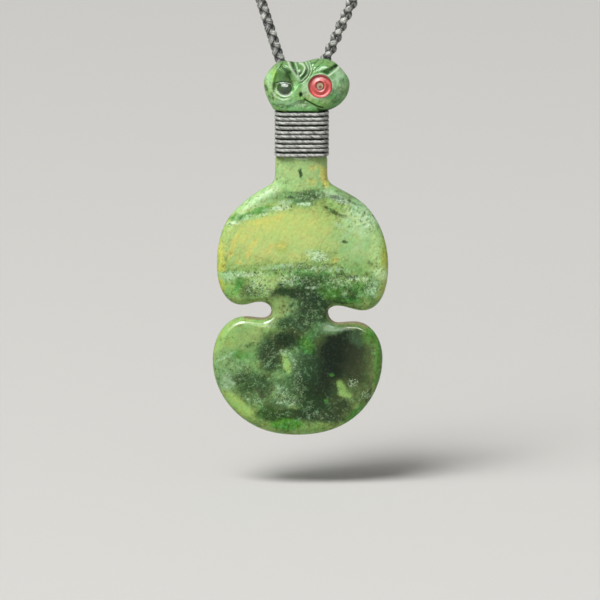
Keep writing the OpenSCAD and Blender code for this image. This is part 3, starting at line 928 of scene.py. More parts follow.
# %% Clouds of colour in the stone, in millimetres of the stone's own frame
# across, up, half width, half height, turn in degrees, share of colour, colour
CLOUDS = [
    # the yellow-green heart of the blade
    [-4.5, 46.6, 14, 7, 6, 0.95, "#adc06e"],
    [-3, 49.5, 9, 3, 4, 0.6, "#b6c568"],
    # neck
    [0.4, 62, 8, 5.5, 0, 0.7, "#a3c27c"],
    [0.1, 61.3, 0.45, 1, 8, 0.95, "#14331a"],
    # shoulders and the dark band across them
    # painted highlight: the pale green along the upper left shoulder stands for its shine
    [-10, 55.6, 6.4, 2.2, 33, 0.8, "#9cc084"],
    [-9.5, 51.9, 4, 1, 16, 0.75, "#8cbc6c"],
    [1.6, 55.9, 5.2, 1.5, 0, 0.75, "#4a7541"],
    [-5, 55.8, 3, 1.2, 20, 0.6, "#6f9a5f"],
    [9.8, 55.7, 4.6, 1.3, -24, 0.85, "#6d8b62"],
    [6.8, 57, 1.8, 1, -20, 0.7, "#92b87c"],
    [15.2, 51.5, 3.6, 2.4, -45, 0.75, "#8db785"],
    # ochre marks in the heart, and the paler right
    [10.3, 45.3, 0.7, 0.35, -10, 0.9, "#33602a"],
    [-4.2, 44.2, 1.7, 1.4, 0, 0.6, "#a0a84c"],
    [14, 45.8, 6.2, 6, 20, 0.85, "#98bd78"],
    [12.6, 49.6, 4, 2, -35, 0.75, "#b2d08f"],
    [18, 43.6, 1.8, 3.4, 0, 0.75, "#a9c87c"],
    [-18.4, 41, 1, 5, 5, 0.8, "#aab63f"],
    [19.8, 41.2, 1.1, 6, 0, 0.8, "#a9b93f"],
    # below it the blade turns mid green, then dark at the waist
    [2.6, 38.9, 13, 1.8, 0, 0.72, "#6f974b"],
    [18.6, 36.6, 2.2, 2.6, 0, 0.92, "#bcdb9a"],
    [2.6, 36.2, 7.5, 1.9, 0, 0.85, "#426a30"],
    [-16.2, 37.2, 3.2, 1.2, 0, 0.85, "#8dba76"],
    [-15.4, 33.8, 2, 1.6, 0, 0.8, "#7fb054"],
    [-18.3, 35.2, 1, 1.8, 25, 0.85, "#a9b23c"],
    [-11.6, 33.2, 2, 1.5, 0, 0.8, "#4c6b36"],
    [-6, 37.2, 4, 1.3, 8, 0.75, "#8cb062"],
    [-7.8, 35.6, 2.6, 2.6, 0, 0.85, "#9fbf70"],
    [-4.4, 33.4, 2.6, 1.7, 0, 0.98, "#11230d"],
    [-0.8, 33.4, 3, 1.5, 0, 0.97, "#132710"],
    [3.6, 32.8, 3.4, 1.6, -10, 0.92, "#1c3617"],
    [2, 35, 2.8, 1.2, 0, 0.9, "#1c3a18"],
    [7.6, 34, 3.2, 2, 0, 0.88, "#2c6a1d"],
    [10.4, 31.9, 3.8, 1.3, 0, 0.95, "#224f14"],
    [13, 34.8, 2.8, 1.5, 0, 0.75, "#458237"],
    [16.6, 34, 2.6, 3, 0, 0.8, "#5f8b46"],
    [18.8, 34, 0.9, 2.6, -25, 0.8, "#a5b850"],
    [0.8, 28, 6.8, 5, 0, 0.92, "#1a3320"],
    [3.6, 30.8, 3, 2, 0, 0.85, "#18301a"],
    [-4.6, 29.8, 2.6, 3, 0, 0.88, "#849f58"],
    [-1.6, 29.6, 1.6, 2, 0, 0.7, "#6d9358"],
    [-3.4, 26.6, 2, 1.2, 0, 0.8, "#203c1b"],
    [3.2, 24.4, 1.3, 3, -22, 0.7, "#4c7a44"],
    # the lower lobe's green left
    [-13.5, 24, 6, 3, 5, 0.9, "#81a35c"],
    [-17.6, 21.5, 2.6, 5, -12, 0.85, "#86a956"],
    [-15.8, 15.5, 5, 5, 0, 0.85, "#6b915a"],
    [-10.4, 19.4, 2.6, 2.6, 0, 0.85, "#628f50"],
    [-6.4, 18.4, 2.8, 5, 8, 0.95, "#20391f"],
    [-12, 12.4, 4, 3.2, -10, 0.9, "#304e25"],
    [-17, 12.6, 1.4, 2.2, 0, 0.8, "#7a9c70"],
    [-8.2, 11, 2.3, 3.2, 0, 0.85, "#435d38"],
    [-9.2, 9.6, 0.9, 1.3, 20, 0.7, "#4a4630"],
    [-3, 12, 3, 3.6, 0, 0.85, "#3d663c"],
    [-4.6, 14.6, 1.8, 1.2, 0, 0.75, "#6b9657"],
    [-3.2, 8, 3.4, 1.2, -5, 0.6, "#48654a"],
    [-5.6, 7, 3, 1.6, -10, 0.8, "#35502c"],
    [-14, 6.9, 5, 1.4, -43, 0.95, "#93b75c"],
    [-11, 9, 3, 1.6, -20, 0.85, "#4d6f38"],
    [-6.6, 4.8, 3.4, 2, -12, 0.92, "#23480f"],
    [-1.4, 5, 4.4, 1.3, 0, 0.9, "#1b3312"],
    [-3, 2.7, 3.8, 1.4, -3, 0.92, "#45901c"],
    [3.4, 2, 4, 0.8, 8, 0.8, "#7a9f4c"],
    # its dark right, the spots in it and the rim
    [-3, 22.4, 3.6, 2.2, 0, 1, "#0c1a08"],
    [-0.3, 22.3, 1.3, 1.3, 0, 0.85, "#162711"],
    [1.8, 20.9, 2.2, 1.8, -20, 0.9, "#387818"],
    [9.1, 19.4, 6.6, 7.2, -10, 1, "#0c1a0a"],
    [12, 23.6, 3.2, 1.3, -6, 0.9, "#11220d"],
    [6.8, 25.2, 2.8, 1.5, -10, 0.8, "#5c7e52"],
    [4, 12.4, 5.2, 7, 0, 0.97, "#0b1a0c"],
    [1.8, 16.4, 3, 4, 10, 0.75, "#1f3a22"],
    [2.8, 6, 3.8, 2.8, 0, 0.95, "#1a331c"],
    [13.2, 16, 3.2, 5.6, 0, 0.85, "#2b331d"],
    [13.4, 22.8, 2, 1.8, -20, 0.7, "#3c5638"],
    [16.4, 22.8, 1.6, 2.6, 28, 0.85, "#437a25"],
    [16.2, 16, 1, 7, -2, 0.75, "#47552c"],
    [18.3, 17, 1.1, 7.4, -3, 0.85, "#4c7f24"],
    [13.8, 9.6, 2.4, 2.2, 35, 0.8, "#40532c"],
    [8, 9.6, 2, 1.6, 0, 0.8, "#24381e"],
    [9, 6, 3.6, 2.6, 22, 0.92, "#323a22"],
    [6.8, 4.3, 2.2, 1.2, 10, 0.8, "#2a3c25"],
    [12.8, 4.9, 3.4, 1.1, 42, 0.85, "#4a8a24"],
    [-0.4, 17.6, 2.4, 3.6, 15, 0.7, "#3d5f3e"],
    [-3.1, 16.9, 0.85, 2.5, 17, 0.95, "#8db45f"],
    [9.5, 11.3, 0.9, 1.9, 18, 0.95, "#7ea552"],
    [10.4, 9.8, 1.6, 0.7, -8, 0.95, "#84aa58"],
    # head
    [0.5, 81.5, 14, 8, 0, 0.85, "#54864a"],
    [5, 80.4, 5.6, 6.4, 0, 0.85, "#65a058"],
    [-6.8, 81.3, 1.6, 4.8, 8, 0.9, "#8dbd6e"],
    [-2.9, 77.3, 3.4, 1.4, -10, 0.75, "#7eae70"],
    [-1.1, 80.8, 1.1, 3.4, 5, 0.75, "#93c67a"],
    [8.9, 81.8, 1.8, 3.4, -8, 0.8, "#8db382"],
    [3.4, 77.8, 3.4, 1, -22, 0.75, "#8fbf62"],
    [2.7, 79.4, 1.7, 1.5, 0, 0.9, "#cfdca6"],
    [5, 78.2, 2, 0.8, -10, 0.7, "#a3c683"],
    [1.6, 80, 0.9, 1.8, 0, 0.7, "#86b85e"],
]
# Smaller marks are torn right through by the felt, so they get a table of their own: a colour with its
# greatest share, and rows of across, up, half width, half height, turn in degrees and strength.
TORN = {
    "dusk": ("#1b3714", 0.85, [
        [2, 56.2, 4.6, 1.2, -4, 0.85], [1.6, 55.3, 1.8, 0.5, 8, 1.15], [4, 55.9, 1.4, 0.6, -15, 1.1],
        [-2.2, 55.7, 1.5, 0.6, 10, 0.9], [8.6, 55.2, 3, 0.8, -20, 0.8], [1, 54.8, 2.2, 0.4, 0, 0.9],
        [-3, 33.8, 2.9, 1, 0, 1.35], [3.4, 35.6, 1.8, 0.7, 10, 1.2], [0.4, 33.6, 1.6, 0.8, 0, 1.1],
        [-2, 36.2, 2.6, 0.8, 14, 0.74], [-4.2, 35.2, 1.8, 0.7, -10, 0.95],
        [10.3, 45.3, 0.8, 0.4, -10, 1.3], [7.7, 52.3, 3.1, 0.5, -30, 1.05],
        [10.2, 51.2, 0.8, 0.6, 0, 1.1], [-14.4, 50.8, 1.8, 0.6, 12, 0.95], [12.6, 54, 2.6, 0.5, -25, 0.8],
        [-12, 51.9, 1.2, 0.4, 20, 0.7], [1, 38.8, 8.5, 1.3, 0, 0.76], [2.4, 36.4, 3.8, 1.1, 0, 1.15],
        [3, 37.6, 5.4, 0.8, 0, 0.95], [11.8, 37.1, 1.8, 0.6, -5, 1.3], [8.6, 37.7, 2.2, 0.8, 0, 0.95],
        [-9.4, 33.8, 2.6, 1.6, 20, 0.82], [-12.4, 35, 1.2, 2, 0, 0.8], [-4.8, 38.6, 3.6, 0.8, 0, 0.75],
        [6.8, 33.6, 2.6, 1.5, 0, 1], [12.4, 33.8, 2.2, 1.6, 0, 1], [15.6, 35.4, 1.8, 1.4, 0, 0.85],
        [1.4, 29, 5, 4, 0, 0.8], [-3.4, 26, 2.4, 1.4, 0, 0.8], [-6.6, 19.8, 2.8, 4, 12, 0.88],
        [-11, 21.4, 3.4, 0.6, 10, 0.85], [-12, 12.6, 3.8, 2.6, -10, 0.82], [-8.4, 12, 2.2, 3.4, 0, 0.78],
        [1.6, 14.8, 3.2, 5.4, 0, 0.85], [-2.2, 5.8, 3.2, 0.8, 0, 1], [-7, 4.7, 2.8, 1.4, -15, 0.9],
        [-3, 2.7, 2.8, 1, 0, 0.72], [3, 7.6, 4, 3.4, 0, 0.9], [1.2, 9, 2.2, 2.6, 0, 1.2],
        [8.4, 6.8, 3.8, 2.2, 20, 0.78], [-4, 23, 2.8, 1.8, 0, 0.9], [-0.6, 22.2, 1.6, 1.4, 0, 0.8],
        [-16.6, 22.6, 2, 1, 10, 0.62], [-7.8, 80.9, 0.6, 0.8, 0, 1.2], [-6.6, 79, 1, 1.2, 0, 0.85],
        [8.4, 80.2, 1.9, 1.6, 0, 0.75], [9.6, 82.6, 0.9, 1.2, 0, 0.8], [8.2, 78.2, 1.5, 0.9, 30, 0.75],
        [-5, 77.2, 2, 0.7, 0, 0.85], [1.8, 77.2, 1.6, 0.4, -20, 0.9], [-3.2, 76.6, 1.6, 0.5, 0, 0.8],
        [-3, 83.8, 0.8, 1.6, -20, 0.9],
    ]),
    "leaf": ("#40842a", 0.75, [
        [-14.3, 50.8, 2.1, 1, 12, 1.4], [-9, 52.6, 3, 0.9, 17, 1.4], [-11.6, 51.7, 1.5, 0.5, 18, 1],
        [-13.9, 35.8, 1, 2, -10, 1.4], [-15, 33.4, 1.4, 1.2, 0, 0.8], [7.4, 33.4, 3, 1.6, 0, 1],
        [13.2, 34.8, 1.8, 1.2, 0, 1], [11.8, 31.5, 2.6, 0.6, 0, 1.1], [1.8, 20.8, 1.7, 1.8, -20, 1],
        [2.8, 24, 1, 2.4, -22, 0.6], [-13.6, 19, 1.9, 1.3, -15, 1.3], [-10.4, 19.4, 1.6, 1, 0, 0.6],
        [-2.6, 2.7, 3, 1.2, 0, 0.95], [12.4, 4.9, 2.8, 1, 42, 0.8], [17.8, 17, 1.2, 6.5, -3, 0.6],
        [7.3, 14.3, 0.7, 0.5, 0, 1.2], [6, 8.4, 0.6, 0.5, 0, 1.1], [16.8, 22.4, 1.2, 2.4, 28, 0.7],
        [5.8, 36.6, 1.2, 0.5, 0, 0.7], [4, 38.4, 6.5, 1, 0, 0.85], [-3.4, 38, 3, 0.7, 0, 0.8],
        [-5.3, 84.4, 0.6, 1.2, 0, 0.7], [5.6, 84.5, 0.9, 0.4, 0, 1.2], [8.6, 86.5, 0.9, 0.4, -40, 1.2],
        [4.6, 77.7, 2.4, 0.8, -20, 0.7], [7.4, 79, 0.8, 0.8, 0, 0.6],
    ]),
    "milk": ("#a8cba2", 0.62, [
        [-3.4, 54.5, 1.9, 0.8, 12, 1], [-6, 53, 3, 0.5, 12, 0.95], [-12.4, 50.6, 2.6, 0.4, 16, 0.85],
        [-15.4, 49.7, 1.6, 0.5, 8, 0.95], [1.4, 54.2, 2.4, 0.4, 0, 0.9], [14.2, 51.8, 3.4, 1.8, -45, 0.9],
        [15.4, 48.4, 3.4, 1.6, 40, 0.8], [11.6, 50.2, 2, 0.8, -30, 0.85], [11.4, 47.6, 3, 0.6, 40, 0.85],
        [13.6, 44.4, 4, 0.7, 42, 0.8], [9, 49.2, 2, 0.5, -30, 0.8], [4, 42, 2.4, 1.1, -25, 0.85],
        [2, 43.2, 1.6, 0.6, 0, 0.7], [-12, 37.6, 2, 0.6, 5, 0.95], [-16.6, 37.3, 2, 0.8, 0, 0.85],
        [14.4, 36.8, 1.6, 0.4, 8, 0.9], [10.2, 33.4, 0.8, 1.1, 0, 0.8], [3, 34.7, 1.6, 0.4, 0, 1],
        [9.6, 36.2, 1.4, 0.5, 0, 0.75], [17, 34, 2, 2.4, 0, 0.62], [-9.8, 35.8, 1.8, 1.4, 0, 0.8],
        [6.5, 38.9, 6, 0.8, -4, 0.8], [-6, 39.5, 5, 0.6, 4, 0.8], [-17.3, 18.4, 2.8, 0.5, 30, 1],
        [-3.7, 19.6, 1.2, 0.7, -30, 0.95], [-1.6, 18, 0.6, 2.4, 30, 0.68], [-3.4, 7.8, 3, 0.8, -8, 0.66],
        [-10.8, 8.7, 2.4, 0.8, -15, 0.6], [-16.4, 12.6, 1.8, 2.6, 0, 0.6],
        [-4.6, 10.8, 2.6, 1.6, 0, 0.72], [9.1, 84.4, 1.4, 1.4, -30, 1.2], [8.2, 82.6, 0.9, 1, 0, 1],
        [1, 76.9, 2.4, 0.6, -6, 0.85], [-1, 77.7, 1.4, 0.5, 20, 0.9], [-7, 82.6, 0.9, 2.4, 5, 0.95],
        [-4, 77.8, 1.8, 0.6, -10, 0.9], [1.2, 80.8, 0.9, 1.9, 0, 1.5],
    ]),
    "honey": ("#cdc25a", 0.65, [
        [-15.2, 44.5, 0.7, 5, -20, 1.2], [-11, 44, 0.7, 3.4, -28, 1.15], [-7.2, 43.4, 0.6, 2, -28, 1],
        [-14.2, 40.6, 0.9, 0.6, 0, 1.2], [-4, 51.3, 2.6, 0.7, 8, 1], [-9, 49.6, 4.6, 1.2, 14, 0.95],
        [-4.2, 44.3, 1, 0.7, 0, 0.9], [8, 41.2, 1.3, 1, 0, 0.75], [-13, 46.4, 3, 1.2, 40, 0.8],
        [5.6, 60.4, 0.9, 2.6, 12, 1.6], [2.6, 59.2, 1.8, 0.9, 0, 0.9], [2.8, 62.6, 1.6, 1, 0, 0.8],
        [-17.8, 42, 0.9, 4, 5, 0.9],
    ]),
}
# across, up, half width, half height, turn in degrees, share of pale flecks
FLECKED = [
    [-8.6, 51.6, 2.6, 0.4, 20, 0.85], [-4.4, 53.2, 2.8, 0.7, 6, 0.95], [-11.8, 51.2, 1.8, 0.6, 20, 0.8],
    [-15.2, 49.5, 1.9, 0.5, 10, 0.9], [1, 54.1, 2.2, 0.5, 0, 0.95], [2, 56, 5, 1.2, 0, 0.6],
    [9.5, 54.4, 2.6, 0.6, -25, 0.7], [12.5, 51.8, 3, 1, -35, 0.7], [15.4, 50.4, 3, 2, -40, 0.75],
    [4.2, 42, 3, 1.5, -8, 0.85], [1, 39.4, 9, 1.6, 0, 0.55], [3.6, 36.4, 5, 1.8, 0, 0.45],
    [-12.6, 37.8, 5.5, 0.8, 0, 0.8], [-9.5, 34.5, 4, 2.6, 0, 0.55], [9.5, 36, 5.5, 2.2, 0, 0.55],
    [13.5, 36.7, 3, 0.6, 0, 0.85], [16.4, 34.6, 2.4, 2.6, 0, 0.6], [2, 33, 5, 1, 0, 0.4],
    [-2.6, 36.6, 3.4, 2, 0, 0.68], [0, 28.5, 7, 4.5, 0, 0.34], [-7.4, 19, 3.5, 4.5, 0, 0.36],
    [-14, 15, 4, 3, 0, 0.4], [-0.6, 13, 1.6, 5, 14, 0.45], [-3, 8.6, 4.2, 1.6, -8, 0.5],
    [-11, 8.8, 3.4, 1.6, -25, 0.45], [3, 5.5, 3, 2, 0, 0.4], [12.2, 12.5, 1.3, 1.3, 20, 0.78],
    [15.4, 9.4, 1.6, 1.8, 40, 0.6], [0, 77.3, 2.6, 1, 0, 0.6], [8.8, 80.6, 2, 2.8, 0, 0.45],
    [-6.6, 79, 1.6, 2.4, 0, 0.45],
]
# across, up, half width, half height, turn in degrees, share of calm where the stone is even
CALM = [
    [-4.5, 47, 13.5, 6.5, 5, 0.85], [9.4, 18.5, 6.5, 7, 0, 0.95], [-13.5, 23, 6, 4, 0, 0.6],
    [13.2, 16.4, 3.6, 6, 0, 0.9], [-14, 7, 4.8, 1.4, -43, 0.6], [-3.2, 22.8, 2.6, 1.6, 0, 0.9],
    [-3, 33.2, 4, 1.6, 0, 0.9], [4.6, 11.8, 3.6, 5.4, 0, 0.75], [0.5, 82, 14, 7, 0, 0.35],
    [13, 44.4, 4.6, 4, 0, 0.75], [0.4, 62, 6, 3, 0, 0.55], [-15, 24, 4, 2, 10, 0.5],
]

# %% Noise, ovals and mixes
RIGHT_THROUGH = 1e4


def mark_of(tree, name, output="Fac"):
    """What is stored on the mesh's points under a name."""
    return add(tree, "Attribute", {}, attribute_name=name).outputs[output]


def framed(tree, vector, middle=(0, 0, 0), turn=0.0, size=(1, 1, 1)):
    """A vector as seen from a frame of its own: about a middle, turned about Y, in its sizes."""
    sockets = {"Vector": vector, "Location": middle, "Rotation": (0, turn, 0), "Scale": size}
    return add(tree, "Mapping", sockets, vector_type="TEXTURE").outputs["Vector"]


def noise(tree, vector, size, detail=3.0, rough=0.5, output="Fac", stretch=(1, 1, 1), turn=0.0):
    """A cloud noise whose blobs are about size millimetres across, stretched and turned if asked."""
    turned = framed(tree, vector, turn=turn, size=stretch)
    sockets = {"Vector": turned, "Scale": 1.0 / size, "Detail": detail, "Roughness": rough}
    return add(tree, "TexNoise", sockets).outputs[output]


def between(tree, value, low, high, out_low=0.0, out_high=1.0):
    """Carries a number smoothly from the range low to high over to the range out_low to out_high."""
    return add(tree, "MapRange", {"Value": value, "From Min": low, "From Max": high, "To Min": out_low,
                                  "To Max": out_high}, interpolation_type="SMOOTHSTEP").outputs["Result"]


def maths(tree, operation, *values):
    """One sum on numbers."""
    return add(tree, "Math", dict(enumerate(values)), operation=operation).outputs[0]


def mixed(tree, share, first, second, kind="MIX"):
    """First turned into second by a share, as a mix of two colours."""
    return add(tree, "Mix", {0: share, 6: first, 7: second}, data_type="RGBA", blend_type=kind).outputs[2]


def tinted(tree, colour, share, code):
    """A colour turned into the one of a hex code by a share."""
    return mixed(tree, share, colour, linear(code))


def shaded(tree, colour, factor):
    """A colour made lighter or darker all round by a factor."""
    grey = add(tree, "CombineColor", {0: factor, 1: factor, 2: factor}).outputs[0]
    return mixed(tree, 1.0, colour, grey, "MULTIPLY")


def oval(tree, vector, across, up, half_w, half_h, turn, share, soft):
    """A soft oval on the face: share inside it and nothing outside. In the oval's own frame,
    moved, turned and scaled to it, its border lies at a distance of 1."""
    own = framed(tree, vector, (across, 0, up), -math.radians(turn), (half_w, RIGHT_THROUGH, half_h))
    away = add(tree, "VectorMath", {0: own}, operation="LENGTH").outputs["Value"]
    return between(tree, away, 1.0 - soft, 1.0 + soft, share, 0.0)


def pushed(tree, vector, size, amount, detail, rough):
    """The vector pushed about by a colour noise, by up to about half the amount each way."""
    push = noise(tree, vector, size, detail, rough, output="Color")
    centred = add(tree, "VectorMath", {0: push, 1: (0.5, 0.5, 0.5)}, operation="SUBTRACT").outputs["Vector"]
    longer = add(tree, "VectorMath", {0: centred, "Scale": amount}, operation="SCALE").outputs["Vector"]
    return add(tree, "VectorMath", {0: vector, 1: longer}, operation="ADD").outputs["Vector"]


# %% Nephrite
nephrite, tree, shader = new_material("nephrite_ground_and_polished")
place = add(tree, "TexCoord", {}).outputs["Object"]
in_mm = framed(tree, place, (0, -REACH * MM, -DROP * MM), size=(MM, MM, MM))
bent = pushed(tree, in_mm, 6.0, 3.0, 2.0, 0.5)
frayed = pushed(tree, bent, 1.5, 4.0, 6.0, 0.8)
feathered = pushed(tree, in_mm, 1.0, 2.0, 6.0, 0.8)
SMALL_CLOUD = 1.4


def cloud_share(row):
    """An oval with torn borders. A large cloud is torn deeply, and a small one only at its
    edge, so that it stays where it is."""
    large = min(row[2:4]) > SMALL_CLOUD
    return oval(tree, frayed if large else feathered, *row[:6], 0.5 if large else 0.35)


ground = between(tree, noise(tree, in_mm, 3.0, 4.0, 0.6), 0.4, 0.6)
colour = mixed(tree, ground, linear("#6f9148"), linear("#86a857"))
for cloud in CLOUDS:
    colour = tinted(tree, colour, cloud_share(cloud), cloud[6])

# the small marks, each torn through where a fine noise runs low
felted = between(tree, noise(tree, feathered, 0.9, 6.0, 0.85), 0.36, 0.64, -0.6, 0.6)
for name, (shade, most, _) in TORN.items():
    mark = mark_of(tree, name)
    torn = between(tree, maths(tree, "ADD", felted, mark), 0.6, 1.12, 0, most)
    colour = tinted(tree, colour, torn, shade)

# a veil of paler and darker felt, calm in some places
calm = mark_of(tree, "calm")
busy = maths(tree, "SUBTRACT", 1.0, calm)
veil = noise(tree, in_mm, 1.0, 6.0, 0.78)
lighter = maths(tree, "MULTIPLY", between(tree, veil, 0.51, 0.66, 0, 0.5), busy)
darker = maths(tree, "MULTIPLY", between(tree, veil, 0.49, 0.36, 0, 0.7), busy)
colour = tinted(tree, colour, lighter, "#94b87c")
colour = tinted(tree, colour, darker, "#213f18")

# pale feathery flecks like frost, dense along some borders and thin elsewhere, and small dark ones
flecked = mark_of(tree, "flecked")
frosty = pushed(tree, in_mm, 0.6, 1.0, 3.0, 0.7)
felt = noise(tree, frosty, 0.45, 3.0, 0.7)
frost = between(tree, maths(tree, "MULTIPLY_ADD", flecked, 0.16, felt), 0.59, 0.69)
thick = between(tree, flecked, 0.15, 1.0, 0.05, 0.92)
colour = tinted(tree, colour, maths(tree, "MULTIPLY", frost, thick), "#b9d6ac")
specks = between(tree, noise(tree, frosty, 0.75, 4.0, 0.8), 0.46, 0.38)
near_frost = between(tree, flecked, 0.1, 0.7, 0.16, 0.8)
colour = tinted(tree, colour, maths(tree, "MULTIPLY", specks, near_frost), "#17300f")

# the felt itself: slanting fibres lighter and darker by turns, some yellower and some greener
fibres = noise(tree, in_mm, 0.5, 5.0, 0.75, stretch=(1, 1, 2.4), turn=math.radians(35))
depth_of_tone = maths(tree, "MULTIPLY_ADD", busy, 0.28, 0.14)
tone = maths(tree, "MULTIPLY", between(tree, fibres, 0.3, 0.7, -0.5, 0.5), depth_of_tone)
colour = shaded(tree, colour, maths(tree, "ADD", tone, 0.97))
hue = between(tree, noise(tree, in_mm, 2.0, 6.0, 0.75), 0.35, 0.65, 0.478, 0.52)
sockets = {"Hue": hue, "Saturation": 0.96, "Value": 1.0, "Color": colour}
colour = add(tree, "HueSaturation", sockets).outputs["Color"]

# painted shade darkens what was carved away, most at the bottom of the cuts, and its grooves and hollows,
# and painted highlight makes the crests pale
carved_shade = mark_of(tree, "carved")
colour = tinted(tree, colour, between(tree, carved_shade, 0.1, 0.9, 0, 0.28), "#1f3a1c")
painted_shade = mark_of(tree, "painted_shade")
painted_highlight = mark_of(tree, "painted_highlight")
lime = mark_of(tree, "lime")
colour = tinted(tree, colour, lime, "#7fae30")
colour = tinted(tree, colour, painted_shade, "#1c3017")
colour = tinted(tree, colour, painted_highlight, "#c6d4bd")
# the core of the right eye is tan with a brown middle, and its wall is brown as painted shade of the gap
# round it
core = mark_of(tree, "core")
middle = mark_of(tree, "core_middle_and_wall_shade")
colour = mixed(tree, core, colour, mixed(tree, middle, linear("#b0a286"), linear("#74503a")))

# the sawn walls of the two notches were left as the rough brown skin of the stone
wall = mark_of(tree, "notch_wall")
skin = mixed(tree, noise(tree, in_mm, 0.8, 4.0, 0.7), linear("#4d3a22"), linear("#93906d"))
colour = mixed(tree, wall, colour, skin)
roughness = between(tree, noise(tree, in_mm, 2.0, 4.0, 0.6), 0.3, 0.7, 0.14, 0.24)
roughness = maths(tree, "MULTIPLY_ADD", wall, 0.35, roughness)

# the planes of the head, its left eye and the arrises were polished most, so they are glossier
polish = mark_of(tree, "polish")
fill(tree, shader, {
    "Base Color": colour, "Roughness": roughness, "Coat Weight": polish,
    "Coat Roughness": 0.14, "Coat IOR": 1.6, "IOR": 1.55, "Specular IOR Level": 0.16,
    "Subsurface Weight": 0.1, "Subsurface Radius": (0.7, 1.0, 0.45), "Subsurface Scale": 0.0008,
})
stone.data.materials.append(nephrite)

# %% Marks on the stone's points, which the material reads
own_x, own_z = points[:, 0] / MM, points[:, 2] / MM + DROP


def brushed(table, least):
    """The greatest share of a table's soft ovals at each point of the stone, and least
    where there is none."""
    most = np.full(len(points), least)
    for across, up, half_w, half_h, turn, share in table:
        c, s = math.cos(math.radians(turn)), math.sin(math.radians(turn))
        u = ((own_x - across) * c + (own_z - up) * s) / half_w
        v = ((own_z - up) * c - (own_x - across) * s) / half_h
        most = np.maximum(most, share * eased(1.5, 0.5, np.hypot(u, v)))
    return most


def front_ring(ring):
    """Where the points of a ring of the stone's front stand among all its points."""
    return slice(around * (1 + ring), around * (2 + ring))


# across from and to, up from and to
NOTCH_BOXES = [(5, 15.5, 22, 30), (-13, -5.5, 24, 31.5)]
LIPS_FROM, LIPS_TO, LIPS_LOW, LIPS_HIGH = 6.8, 17.3, 22, 30
SKIN_RINGS = 9
out_x, out_z = outline.T
in_notch = np.any([
    (out_x > left) & (out_x < right) & (out_z > low) & (out_z < high)
    for left, right, low, high in NOTCH_BOXES
], axis=0)
faces_up = eased(-0.2, 0.2, -inward[:, 1])
wall_mark = np.zeros(len(points))
wall_mark[:around] = in_notch * faces_up
for ring in range(SKIN_RINGS):
    wall_mark[front_ring(ring)] = in_notch * faces_up * eased(SKIN_RINGS, 4, ring)
carved_mark = np.zeros(len(points))
carved_mark[around:first_back] = cut[:-1].ravel()
carved_mark[first_middle:first_middle + top_row + 1] = cut[-1][half_row]

# on the head, painted highlight makes the crests paler, and painted shade darkens the grooves and hollows
on_face = (points[:, 1] < -REACH * MM) & (own_z > HEAD_MARKS_FROM)
face_x, face_z = own_x[on_face], own_z[on_face]


def along(line, half, share):
    """A soft stripe of a half width along a line on the head's face."""
    return share * eased(half, 0.35 * half, to_line(face_x, face_z, line)[0])


def within(border, soft, share):
    """A patch inside a border on the head's face, soft for a little way in."""
    return share * eased(0.0, soft, inside_by(face_x, face_z, border))


def away_from(spot, across=0.0, up=0.0):
    """The distance on the head's face from a place, or from one beside it."""
    return np.hypot(face_x - spot[0] - across, face_z - spot[1] - up)


from_right_eye = away_from(RIGHT_EYE)
on_ball = eased(EYE_SHOWS_R, EYE_SHOWS_R - 0.15, away_from(LEFT_EYE))
# painted highlight: the brows, curl, cheek edge, lids, the eye ring's edge and the curl's bud are made paler
painted_highlights = np.max([
    along(BROW_LEFT, 0.36, 0.45), along(BROW_LEFT[:3], 0.4, 0.45), along(BROW_RIGHT, 0.26, 0.42),
    along(BROW_RIGHT_OUTER, 0.22, 0.3), along(CURL_STEM, 0.28, 0.35), along(CURL_HOOK, 0.36, 0.5),
    along(CHEEK_EDGE, 0.4, 0.45), along(LOWER_LID, 0.42, 0.65), along(EYE_BAG, 0.34, 0.25),
    0.4 * eased(0.3, 0.05, np.abs(from_right_eye - DRILL_R - 0.1)),
    0.6 * eased(0.5, 0.3, away_from(CURL_BUD)),
], axis=0)
# painted shade: the grooves, hollows, pits, mouth line, the strip under the cheek and the eye's ball below
# its lid are made darker
painted_shades = np.max([
    *[along(line, 0.24, 0.55) for line in BROW_GROOVES],
    along(UPPER_LID, 0.28, 0.85), along(LEFT_CREASE, 0.34, 0.3), along(V_SHADE, 0.5, 0.7),
    along(MOUTH[:4], 0.34, 0.8), along(LEFT_JAW, 0.3, 0.35), within(BROW_DARK, 0.35, 0.65),
    within(UNDER_CHEEK, 0.2, 0.85), within(HOLLOW_SHADE, 0.2, 0.55), within(INNER_FACET, 0.3, 0.25),
    0.9 * eased(1.0, 0.5, np.hypot((face_x - CHIN_PIT[0]) / 0.5, (face_z - CHIN_PIT[1]) / 0.75)),
    0.9 * eased(0.7, 0.2, away_from(BROW_PIT)),
    0.85 * on_ball * (face_z < LID_LINE_UP),
], axis=0)
painted_highlight_mark, painted_shade_mark, core_mark, lime_mark, polish_mark = np.zeros((5, len(points)))
polish_mark[on_face] = np.max([on_ball] + [within(plane, 0.4, 1.0) for plane in FLAT_PLANES], axis=0)
# the outer wall of the left eye's hollow is a livelier green
lime_mark[on_face] = along(HOLLOW_WALL, 0.65, 0.55)
# painted shade darkens the bed, where it shows between the turns of the thread
painted_shade_mark[:] = 0.95 * ((own_z > BINDING_Z) & (own_z < BINDING_TOP))
painted_highlight_mark[on_face] = painted_highlights
painted_shade_mark[on_face] = painted_shades
core_mark[on_face] = from_right_eye < CORE_R + 0.18
# the core's middle is brown, and its wall is painted brown as painted shade of the gap between core and
# resin
core_middle_and_wall_shade = np.zeros(len(points))
off_middle = away_from(RIGHT_EYE, 0.05, -0.22)
core_middle_and_wall_shade[on_face] = np.maximum(eased(0.62, 0.2, off_middle), eased(0.7, 0.8, from_right_eye))

